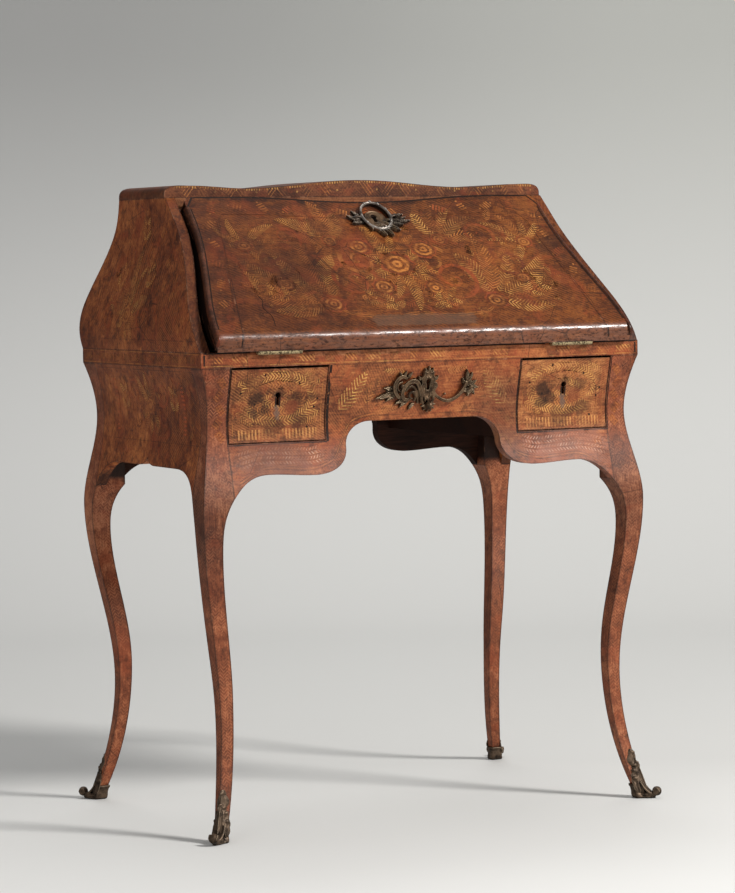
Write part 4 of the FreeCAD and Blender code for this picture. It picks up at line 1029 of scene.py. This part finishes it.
def crest_marquetry():
    """Pairs of barred rays and dots along the crest, and a striped line on its edge."""
    ground = Ground(["top_board"])
    inlay = Inlay("crest_marquetry", "carcass", ground)
    low, over = 960.0, 990.0
    for x in np.arange(-282.0, 300.0, 70.5):
        high = ground.top(x, low, over) - low
        for sign in (-1, 1):
            centre = (x + sign * high * 0.7, 960.5 + high * 0.46)
            inlay.bars(centre, 90 - sign * 52, 13.0, high * 1.05, 4.8, share=0.3, strength=0.62)
        inlay.dot((x + 35.2, 962 + high * 0.3), 1.6, STRAW, 0.2, 0.6)
    edge = [(x, ground.top(x, low, over) - 2.6) for x in np.linspace(-318, 318, 120)]
    inlay.along(edge, 1.6, STRAW, columns=3, pitch=4.4, share=0.5, fold=0.0, strength=0.7)
    inlay.make(inlaid["crest"])


lid_marquetry()
frieze_marquetry()
for name, sign in SIDES:
    drawer_marquetry(name, sign)
    side_marquetry(name, sign)
crest_marquetry()


# Castings

BLADE = ((-1.0, 0.35), (-0.55, 1.0), (-0.16, 0.72), (0.0, 1.25), (0.16, 0.72), (0.55, 1.0), (1.0, 0.35))


def round_turns(count):
    return np.linspace(0, 2 * math.pi, count, endpoint=False)


class Casting:
    """Closed shells in chart coordinates (across, up and out, in millimetres), joined into one surface."""

    def __init__(self, place):
        self.place = place
        self.points, self.faces = [], []

    def grid(self, rows, closed=True):
        """Shell from rings of equal length. A closed one has a face over its first and its last ring."""
        start, count = len(self.points), len(rows[0])
        for ring in rows:
            self.points += [self.place(*spot) for spot in ring]
        for i, j in np.ndindex(len(rows) - 1, count):
            a, b = start + i * count + j, start + i * count + (j + 1) % count
            self.faces.append((a, b, b + count, a + count))
        if closed:
            last = start + (len(rows) - 1) * count
            self.faces.append(tuple(range(start + count - 1, start - 1, -1)))
            self.faces.append(tuple(range(last, last + count)))

    def tube(self, spine, wide, high=None, sides=10, ridge=0.0):
        """Bar along a smooth line. Wide and high are half sizes, and a ridge makes its top double."""
        spine = curve(spine, 8)
        wide = np.atleast_1d(wide)
        wide = np.interp(np.linspace(0, 1, len(spine)), np.linspace(0, 1, len(wide)), wide)
        high = wide if high is None else high * np.ones(len(spine))
        rows = []
        for (a, b, h), (da, db), w, k in zip(spine, unit_steps(spine[:, :2]), wide, high):
            ring = []
            for turn in round_turns(sides):
                off = w * math.cos(turn)
                dip = ridge * math.exp(-(off / (0.45 * w)) ** 2) * (math.sin(turn) > 0)
                ring.append((a - db * off, b + da * off, h + k * math.sin(turn) * (1.0 - dip)))
            rows.append(ring)
        self.grid(rows)

    def blade(self, root, tip, bend, wide, rise=2.0, lobes=3, curl=1.5):
        """Cast leaf with a lobed edge, a middle rib and a tip that lifts."""
        run = np.array(tip, float) - np.array(root, float)
        side = np.array([-run[1], run[0]]) / np.linalg.norm(run)
        rows = []
        for t in np.linspace(0.02, 0.98, 26):
            spot = bowed(root, tip, bend, t)
            lobe = 0.74 + 0.26 * abs(math.cos(math.pi * lobes * t))
            half = wide * math.sin(math.pi * t ** 0.75) ** 0.7 * lobe
            lift = rise * (0.7 + 0.3 * math.sin(math.pi * t)) + curl * t * t
            top = [(*(spot + side * half * c), lift * k) for c, k in BLADE]
            under = [(a, b, curl * t * t * 0.6 - 0.3) for a, b, _ in top[::-1]]
            rows.append(top + under)
        self.grid(rows)

    def blades(self, leaves, *shape):
        for a, b, tip_a, tip_b, bend, wide in leaves:
            self.blade((a, b), (tip_a, tip_b), bend, wide, *shape)

    def ball(self, a, b, h, r, squash=1.0):
        rows = []
        for t in np.linspace(0.08, 0.92, 11) * math.pi:
            wide, rise = r * math.sin(t), r * squash * math.cos(t)
            rows.append([(a + wide * math.cos(k), b + wide * math.sin(k), h - rise) for k in round_turns(18)])
        self.grid(rows)

    def plate(self, inner, outer, profile):
        """Pierced plate between two outlines, with (share, height) pairs over its top and back under it."""
        pairs = [(np.array(i), np.array(o)) for i, o in zip(inner, outer)]
        rows = [[(*(i + (o - i) * share), high) for i, o in pairs] for share, high in profile]
        self.grid(rows + rows[:1], closed=False)

    def surface(self, name, voxel):
        """One smooth mesh round all the shells."""
        mesh = bpy.data.meshes.new(name)
        mesh.from_pydata(self.points, [], self.faces)
        made = add_object(name, mesh)
        skin = made.modifiers.new("skin", "REMESH")
        skin.mode = "VOXEL"
        skin.voxel_size = voxel * MM
        skin.use_smooth_shade = True
        ease = made.modifiers.new("ease", "SMOOTH")
        ease.factor = 0.5
        ease.iterations = 2
        bpy.context.view_layer.update()
        cast = bpy.data.meshes.new_from_object(made.evaluated_get(bpy.context.evaluated_depsgraph_get()))
        made.modifiers.clear()
        made.data = cast
        cast.name = name
        return made

    def make(self, name, body, replaced, voxel, metals=("bronze",), metal_at=None):
        """Cast object of one metal, or of the metal that metal_at picks for each face."""
        made = self.surface(name, voxel)
        made.data.materials.clear()
        for metal in metals:
            made.data.materials.append(mats[metal])
        if metal_at:
            for face in made.data.polygons:
                face.material_index = metal_at(face.center)
        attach(made, body)
        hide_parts(replaced)


def keyhole(a, b, head, slot, drop):
    """Outline of a keyhole, one point for each direction from its head."""
    spots = []
    for turn in round_turns(72):
        x, y = math.sin(turn), math.cos(turn)
        reach = head
        if y < 0:
            reach = max(head, min(drop / -y, slot / max(abs(x), 1e-6)))
        spots.append((a + x * reach, b + y * reach))
    return spots


# Centre mount

MOUNT_ACROSS, MOUNT_UP = 3.0, 662.0


def mount_place(a, b, h):
    """Place over the frieze, round the middle of the mount."""
    face = front_ground.hit(60.0, MOUNT_UP + b)
    return Vector(((MOUNT_ACROSS + a) * MM, face.y - 1.4 * h * MM, (MOUNT_UP + b) * MM))


def mount_shield(cast):
    """Pierced shield with a frilled edge, leaves over it and a knop with leaves under it."""
    outline = []
    for turn in round_turns(72):
        x, y = math.sin(turn), math.cos(turn)
        frill = 1.0 + 0.09 * math.cos(11 * turn)
        outline.append((12.5 * x * frill * (1.0 + 0.16 * y), 4.0 + (24.0 if y > 0 else 25.0) * y * frill))
    profile = ((0.0, 3.4), (0.06, 4.6), (0.22, 4.8), (0.32, 3.6), (0.6, 3.8), (0.82, 5.2), (0.95, 4.4),
               (1.0, 2.6), (1.0, 0.0), (0.5, -0.4), (0.0, -0.4))
    cast.plate(keyhole(0.0, 10.0, 3.5, 2.6, 12.5), outline, profile)
    leaves = ((-3, 20, -7, 31, 1, 3.4), (3, 20, 7, 31, -1, 3.4), (0, 20, 0, 34, 0, 3.6),
              (-10, 10, -17, 19, 2, 3.4), (10, 10, 17, 19, -2, 3.4), (-11, -2, -18, 4, 2, 3.0),
              (11, -2, 17, 3, -2, 3.0))
    cast.blades(leaves, 3.6, 2)
    cast.ball(4.0, -28.0, 3.6, 6.6, 0.85)
    for turn in range(6):
        way = way_of(190 + 34 * turn) * (13, 12)
        cast.blade((4, -26), way + (4, -26), 1.5, 3.4, 3.4, 2)
    cast.tube([(-8, -6, 4), (-10, -16, 4.4), (-6, -25, 4)], [2.0, 2.4, 1.6], ridge=0.6)
    cast.tube([(8, -6, 4), (11, -15, 4.4), (9, -23, 4)], [2.0, 2.4, 1.6], ridge=0.6)


def mount_scrolls(cast):
    """Scrolls and leaves on the left."""
    scrolls = (
        ([(-8, -24, 3), (-12, -6, 4), (-21, 9, 5), (-34, 9, 5), (-43, -2, 5), (-42, -14, 4), (-34, -18, 4),
          (-29, -13, 4)], [2.6, 3.4, 3.6, 3.4, 3.2, 2.8, 2.2, 2.0], 0.92),
        ([(-14, -24, 2), (-17, -9, 3), (-24, 1, 3.5), (-32, 2, 3.5), (-37, -5, 3)],
         [1.6, 2.0, 2.2, 2.0, 1.4], 0.5),
        ([(-21, -20, 2.5), (-20, -12, 3.5), (-25, -6, 4), (-31, -8, 4), (-31, -14, 4), (-26, -16, 4)],
         [1.6, 2.2, 2.4, 2.2, 1.8, 1.4], 0.0),
        ([(-36, 15, 3), (-47, 18, 4), (-56, 11, 4.5), (-58, 0, 4.5), (-52, -11, 4), (-42, -16, 3)],
         [1.8, 2.8, 3.2, 3.2, 2.8, 1.8], 0.92),
        ([(-44, 10, 2.5), (-51, 7, 3), (-52, 0, 3), (-46, -6, 3)], [1.3, 1.9, 1.9, 1.2], 0.0))
    for spine, wide, ridge in scrolls:
        cast.tube(spine, wide, ridge=ridge)
    cast.ball(-44.5, 3.5, 3.0, 3.4)
    leaves = ((-54, -4, -89, -14, 3, 6.0), (-56, 2, -76, 2, 3, 4.4), (-52, -10, -70, -19, -2, 4.0),
              (-34, 14, -28, 25, 2, 3.6), (-40, 16, -38, 27, 2, 3.4), (-46, 16, -50, 25, -2, 3.2),
              (-30, -18, -46, -29, -3, 4.4), (-20, -23, -31, -33, -2, 4.0), (-38, -18, -54, -24, -2, 3.6),
              (-13, 6, -24, 16, 2, 3.2))
    cast.blades(leaves, 3.2, 3)


def mount_swag(cast):
    """Swag on the right, with a flower and leaves at its end."""
    swag = [(6, 4, 3), (12, 7, 4), (15, 2, 4), (11, -6, 4), (20, -16, 4), (36, -21, 4.5), (52, -15, 4.5),
            (63, -2, 4.5), (67, 8, 4)]
    cast.tube(swag, [1.4, 1.8, 1.8, 2.0, 2.4, 2.8, 3.0, 2.6, 1.8], ridge=0.6)
    cast.ball(32.0, -10.5, 1.4, 1.9)
    for turn in range(7):
        way = way_of(-150 + 48 * turn)
        cast.blade(2 * way + (74, -1), 15 * way + (74, -1), 2.0, 4.2, 3.4, 2, 2.4)
    cast.ball(74.0, -1.0, 5.0, 3.2)
    cast.blades(((68, 6, 66, 27, -3, 4.4), (72, 8, 76, 22, -2, 3.6), (64, 2, 59, 14, -2, 3.0)), 3.4, 3)


def centre_mount():
    cast = Casting(mount_place)
    mount_shield(cast)
    mount_scrolls(cast)
    mount_swag(cast)
    cast.make("centre_mount_casting", "carcass", "centre_mount", 0.55)


# Lid escutcheon

RING_ACROSS, RING_UP = 1.0, 261.0
RING_WIDE, RING_HIGH = 26.9, 31.9


def oval(a, b, wide, high):
    return [(a + wide * math.sin(t), b + high * math.cos(t)) for t in round_turns(72)]


def escutcheon_ring(cast):
    """Disc round the keyhole, and a raised oval ring with beads."""
    disc = ((0.0, 1.8), (0.1, 2.6), (0.7, 2.8), (0.82, 3.6), (0.95, 3.2), (1.0, 1.8), (1.0, 0.0), (0.5, -0.4),
            (0.0, -0.4))
    cast.plate(keyhole(-1.0, 263.5, 5.0, 3.0, 12.0), oval(0.0, 257.0, 19.0, 19.0), disc)
    ring = ((0.0, 6.2), (0.2, 8.0), (0.5, 8.6), (0.8, 8.0), (1.0, 6.2), (0.86, 3.4), (0.9, 0.0), (0.5, -0.4),
            (0.1, 0.0), (0.14, 3.4))
    inner = oval(RING_ACROSS, RING_UP, RING_WIDE - 4.3, RING_HIGH - 4.3)
    cast.plate(inner, oval(RING_ACROSS, RING_UP, RING_WIDE, RING_HIGH), ring)
    for t in round_turns(12):
        reach = 1.0 + 0.03 * math.cos(5 * t)
        a, b = RING_ACROSS + 24.9 * reach * math.sin(t), RING_UP + 29.9 * reach * math.cos(t)
        cast.ball(a, b, 7.4, 2.4 if math.cos(t) > 0.6 else 1.7)


def escutcheon_metal(spot):
    """Number of the metal at a place: dark leaves, a ring rubbed pale that also carries a painted highlight,
    and bronze in and below it.
    """
    rel = spot - lid_ground.origin
    a, b, h = (rel.dot(way) / MM for way in (lid_ground.across, lid_ground.up, lid_ground.out))
    reach = math.hypot((a - RING_ACROSS) / RING_WIDE, (b - RING_UP) / RING_HIGH)
    if h > 29.3 and 0.8 < reach < 1.06:
        return 1
    return 2 if reach < 0.8 or (b < 248 and abs(a - 4) < 22) else 0


def lid_escutcheon():
    cast = Casting(lid_place)
    escutcheon_ring(cast)
    sprays = ((-24, 258, -51, 263, 3, 5.0), (-22, 252, -46, 246, -2, 4.6), (-20, 264, -40, 273, 2, 4.2),
              (-30, 255, -44, 254, 1, 4.0), (26, 258, 58, 250, -3, 5.2), (25, 264, 50, 264, 2, 4.6),
              (22, 250, 42, 240, 3, 4.8), (34, 258, 52, 257, 1, 4.0), (-8, 246, -16, 230, -2, 4.6),
              (6, 254, 20, 240, 2, 5.0), (2, 252, 4, 234, 1, 4.4), (12, 256, 24, 252, 1, 4.0),
              (-14, 254, -22, 244, 1, 4.0))
    cast.blades(sprays, 3.6, 4, 4.6)
    drop = ((5, 246, 16, 215, 2, 6.6), (-3, 244, 4, 216, -2, 6.0), (11, 248, 32, 227, 3, 6.4))
    cast.blades(drop, 4.8, 4, 4.6)
    taper = [1.6, 2.2, 2.2, 1.8, 1.2]
    cast.tube([(-22, 256, 3), (-30, 262, 4), (-38, 258, 4), (-36, 251, 4), (-31, 253, 4)], taper)
    cast.tube([(24, 256, 3), (34, 263, 4), (43, 258, 4), (40, 250, 4), (35, 253, 4)], taper)
    cast.ball(9.0, 239.0, 3.0, 4.2)
    metals = ("dark_bronze", "worn_and_highlit_bronze", "bronze")
    cast.make("lid_escutcheon_casting", "lid", "lid_escutcheon", 0.55, metals, escutcheon_metal)


# Shoes

SOLE = 0.3
FLANK = 8.2


class Foot:
    """One foot of the desk: its corner, its diagonal and the face of its leg."""

    def __init__(self, row, side):
        self.sx, self.sy = (-1 if side == "left" else 1), (-1 if row == "front" else 1)
        self.out = Vector((self.sx, self.sy, 0.0)).normalized()
        self.across = Vector((-self.out.y, self.out.x, 0.0))
        self.corner = Vector((self.sx * 0.374, self.sy * 0.238, 0.0))
        self.face = Ground(["%s_%s_leg" % (row, side)], self.corner, self.across)

    def on_leg(self, c, z, h):
        """Place over the leg's corner, bent back along its two faces."""
        held = max(-FLANK, min(FLANK, c))
        spot = self.face.hit(held, max(z, 12.0))
        past = (self.across * (c - held) - self.out * abs(c - held)) * MM
        return Vector((spot.x, spot.y, max(z, SOLE) * MM)) + past + self.out * (h * MM)

    def free(self, c, o, z):
        """Place beside the corner, along the diagonal and above the floor."""
        flat = self.corner + self.across * (c * MM) + self.out * (o * MM)
        return flat + Vector((0, 0, max(z, SOLE) * MM))

    def cup_ring(self, z, grow):
        """Squarish ring round the foot at one height."""
        ring = []
        for turn in round_turns(32):
            x, y = (abs(v) ** 0.45 * (1 if v > 0 else -1) for v in (math.cos(turn), math.sin(turn)))
            dx, dy = -7.5 - 0.2 * z + x * (7.5 + grow), -6.5 - 0.24 * z + y * (6.5 + grow)
            shift = Vector((self.sx * dx, self.sy * dy, 0.0))
            ring.append((shift.dot(self.across), shift.dot(self.out), z))
        return ring


def shoe_toe(cast):
    """Sole, rolled toe with a scroll on each side, and flutes down to it."""
    cast.tube([(0, -15, 2.2), (0, -4, 2.2), (0, 6, 2.2), (0, 14, 2.0)], [8.0, 11.0, 8.0, 3.0], 1.8, sides=16)
    cast.tube([(0, -8, 6.5), (0, 2, 6.0), (0, 9, 5.0), (0, 15, 5.0)], [9.0, 9.0, 6.5, 4.0], 4.4, sides=14)
    cast.ball(0.0, 17.0, 11.2, 7.6)
    winding = list(zip(np.linspace(0, 3.4 * math.pi, 30), np.linspace(5.8, 1.2, 30)))[::3]
    for c in (-6.0, 6.0):
        cast.tube([(c, 17 + r * math.cos(t), 11.2 + r * math.sin(t)) for t, r in winding], 1.4)
    for c in (-7.5, -2.6, 2.6, 7.5):
        flute = [(c, -7, 26), (c * 0.95, -1, 16), (c * 0.8, 6, 9.0), (c * 0.5, 12, 6.5)]
        cast.tube(flute, [2.4, 2.8, 2.6, 2.0], 2.6)


def shoe_leaf(cast):
    """Leaf in two tiers up the corner, with side leaves, ribs and beads."""
    cast.blade((0, 6), (0, 56), 0.0, 12.5, 4.6, 4, 1.6)
    cast.blade((0, 42), (0, 78), 0.0, 9.0, 3.4, 2, 0.4)
    for c in (-9.0, 9.0):
        cast.blade((c, 4), (c, 40), 0.0, 5.0, 2.0, 3, 0.4)
    for c, top in ((-9.0, 34), (-5.6, 44), (5.6, 44), (9.0, 34)):
        rib = [(c * 1.1, 10, 3.4), (c, 22, 3.8), (c * 0.8, top - 4, 4.0), (c * 0.7, top, 4.6)]
        cast.tube(rib, [1.1, 1.6, 1.5, 1.0])
    for c, z in ((-7.4, 44), (-4.0, 52), (4.0, 52), (7.4, 44), (-9.6, 32), (9.6, 32), (0.0, 56)):
        cast.ball(c, z, 3.6, 2.6)
    cast.ball(0.0, 72.0, 2.4, 2.8)


def shoe(row, side):
    """Cast shoe: a cup round the foot, a rolled toe and a leaf up the corner."""
    foot = Foot(row, side)
    cast = Casting(foot.free)
    cup = ((SOLE, 2.4), (2.0, 3.6), (6.0, 3.4), (11.0, 2.4), (17.0, 2.2), (19.0, 3.2), (21.5, 3.2),
           (22.5, 2.0))
    cast.grid([foot.cup_ring(z, grow) for z, grow in cup])
    shoe_toe(cast)
    cast.place = foot.on_leg
    shoe_leaf(cast)
    name = "%s_%s_shoe" % (row, side)
    cast.make(name + "_casting", "carcass", name, 0.65, ("shoe_bronze",))


# Moulding of the lid

MOULDING = ((-5.0, -0.3), (-4.6, 0.5), (-3.2, 1.0), (-1.4, 1.0), (0.4, 0.2), (1.8, -1.4), (2.6, -3.6),
            (2.8, -6.0), (2.3, -8.4), (1.2, -10.2), (0.4, -11.0), (0.4, -11.8), (1.7, -12.2), (1.9, -14.0),
            (1.6, -16.0), (0.6, -17.0), (-0.4, -17.0))


def moulding_ring(spot, step, sign, share=1.0, fall=0.0):
    """Section of the moulding at one place, made smaller by a share and let down by a fall."""
    (a, b), (da, db) = spot, step
    ring = []
    for reach, height in MOULDING[::-sign]:
        off = reach * share * sign
        ring.append((a + db * off, b - da * off, height * share - fall))
    return ring


def lid_moulding():
    """Moulding along each side of the lid: a large bead, a quirk and a fillet, rounded off at the nose."""
    cast = Casting(lid_place)
    nose = ((10.6, 9.0, 0.6), (9.0, 5.0, 0.8), (6.0, 2.0, 0.9))
    for sign in (-1, 1):
        line = np.array([(lid_ground.side(b, sign), b) for b in np.linspace(12, 292, 60)])
        steps = unit_steps(line)
        rows = [moulding_ring(line[0] - steps[0] * ahead, steps[0], sign, share, fall)
                for ahead, fall, share in nose]
        rows += [moulding_ring(spot, step, sign) for spot, step in zip(line, steps)]
        cast.grid(rows)
    mesh = bpy.data.meshes.new("lid_moulding")
    mesh.from_pydata(cast.points, [], cast.faces)
    mesh.polygons.foreach_set("use_smooth", [True] * len(mesh.polygons))
    mesh.set_sharp_from_angle(angle=math.radians(50))
    mesh.materials.append(mats["moulding"])
    made = add_object("lid_moulding", mesh)
    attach(made, "lid")


centre_mount()
lid_escutcheon()
lid_moulding()
for row in ("front", "back"):
    for side in ("left", "right"):
        shoe(row, side)


# Camera and studio

YAW, TILT, ROLL = math.radians(27.492), math.radians(-3.436), math.radians(0.93)
EYE = (-2.3402, -4.5156, 0.8676)
AHEAD = Vector((math.sin(YAW), math.cos(YAW), 0.0))
RIGHT = Vector((math.cos(YAW), -math.sin(YAW), 0.0))


def camera():
    ahead = AHEAD * math.cos(TILT) + Vector((0.0, 0.0, math.sin(TILT)))
    up = RIGHT.cross(ahead)
    side = RIGHT * math.cos(ROLL) - up * math.sin(ROLL)
    top = RIGHT * math.sin(ROLL) + up * math.cos(ROLL)
    data = bpy.data.cameras.new("camera")
    data.sensor_width = 36.0
    data.lens = 3211.2 * 36.0 / 893.0
    data.clip_end = 60.0
    made = add_object("camera", data)
    made.matrix_world = Matrix.Translation(EYE) @ Matrix((side, top, -ahead)).transposed().to_4x4()
    scene.camera = made


def lamp(name, place, aim, size, power, colour=(1.0, 1.0, 1.0)):
    data = bpy.data.lights.new(name, "AREA")
    data.shape = "DISK"
    data.size = size
    data.energy = power
    data.color = colour
    made = add_object(name, data)
    made.location = place
    made.rotation_euler = (Vector(aim) - Vector(place)).to_track_quat("-Z", "Y").to_euler()


def paper():
    """Pale grey paper with painted light falloff: lightest near the camera, with painted shade up the
    backdrop and on the left. It is painted darker where seen in reflections, and it is clear from behind.
    """
    s = Shader("studio_paper")
    reach = s.measure("DOT_PRODUCT", s.spot, tuple(AHEAD))
    beside = s.measure("DOT_PRODUCT", s.spot, tuple(RIGHT))
    # Painted light falloff: the floor is lightest near the camera and darker further off.
    s.colour = s.ramp(s.step(reach, -1.5, 3.6), [(0.0, tint(240, 240, 238)), (0.3, tint(209, 209, 207)),
                                                 (0.55, tint(206, 206, 204)), (1.0, tint(203, 203, 201))])
    # Painted shade up the backdrop, deeper on the left than on the right.
    upper = s.mix(s.step(beside, -1.0, 1.0), tint(138, 138, 137), tint(170, 171, 167))
    s.lay(s.step(s.height(), 0.15, 1.7), 1.0, upper)
    # Painted shade on the left side of the floor and backdrop.
    s.lay(s.step(beside, 0.1, -1.3), 0.28, tint(176, 176, 175))
    s.lay(s.noise(3.0, 2.0), 0.04, tint(200, 200, 196))
    # Painted darker where the paper is seen in reflections, which dims it in glossy surfaces.
    s.lay(s.add("LightPath", out="Is Glossy Ray"), 0.6, tint(40, 38, 36))
    front = s.add("BsdfPrincipled", {"Base Color": s.colour, "Roughness": 0.9})
    behind = s.add("NewGeometry", out="Backfacing")
    return s.show(s.add("MixShader", {0: behind, 1: front, 2: s.add("BsdfTransparent")}))


def backdrop():
    """Floor that bends up into a backdrop square to the camera."""
    near, far, bend, high, half = -7.0, 2.2, 1.4, 5.5, 9.0
    turns = np.linspace(0, math.pi / 2, 24)
    profile = [(near, 0.0)] + [(far + bend * math.sin(t), bend * (1 - math.cos(t))) for t in turns]
    profile.append((far + bend, high))
    points = [AHEAD * reach + RIGHT * w + Vector((0, 0, rise))
              for reach, rise in profile for w in (-half, 0.0, half)]
    starts = [3 * row + i for row in range(len(profile) - 1) for i in range(2)]
    mesh = bpy.data.meshes.new("sweep")
    mesh.from_pydata(points, [], [(i, i + 1, i + 4, i + 3) for i in starts])
    mesh.polygons.foreach_set("use_smooth", [True] * len(mesh.polygons))
    mesh.materials.append(paper())
    sweep = add_object("sweep", mesh)


def sky():
    """Even light all round, dimmer in reflections."""
    world = bpy.data.worlds.new("studio")
    scene.world = world
    world.use_nodes = True
    tree = world.node_tree
    rays = tree.nodes.new("ShaderNodeLightPath")
    power = tree.nodes.new("ShaderNodeMapRange")
    power.inputs["To Min"].default_value = 0.36
    power.inputs["To Max"].default_value = 0.06
    tree.links.new(rays.outputs["Is Glossy Ray"], power.inputs[0])
    background = tree.nodes["Background"]
    background.inputs[0].default_value = (1.0, 1.0, 1.0, 1.0)
    tree.links.new(power.outputs[0], background.inputs[1])


camera()
backdrop()
lamp("key", (3.2, -4.1, 4.0), (0.0, 0.0, 0.5), 1.3, 380.0, (1.0, 0.98, 0.95))
lamp("fill", (-4.2, -3.4, 2.2), (0.0, 0.0, 0.5), 3.0, 26.0)
lamp("back", (0.8, 2.2, 4.2), (0.6, 2.6, 0.2), 2.6, 50.0)
sky()
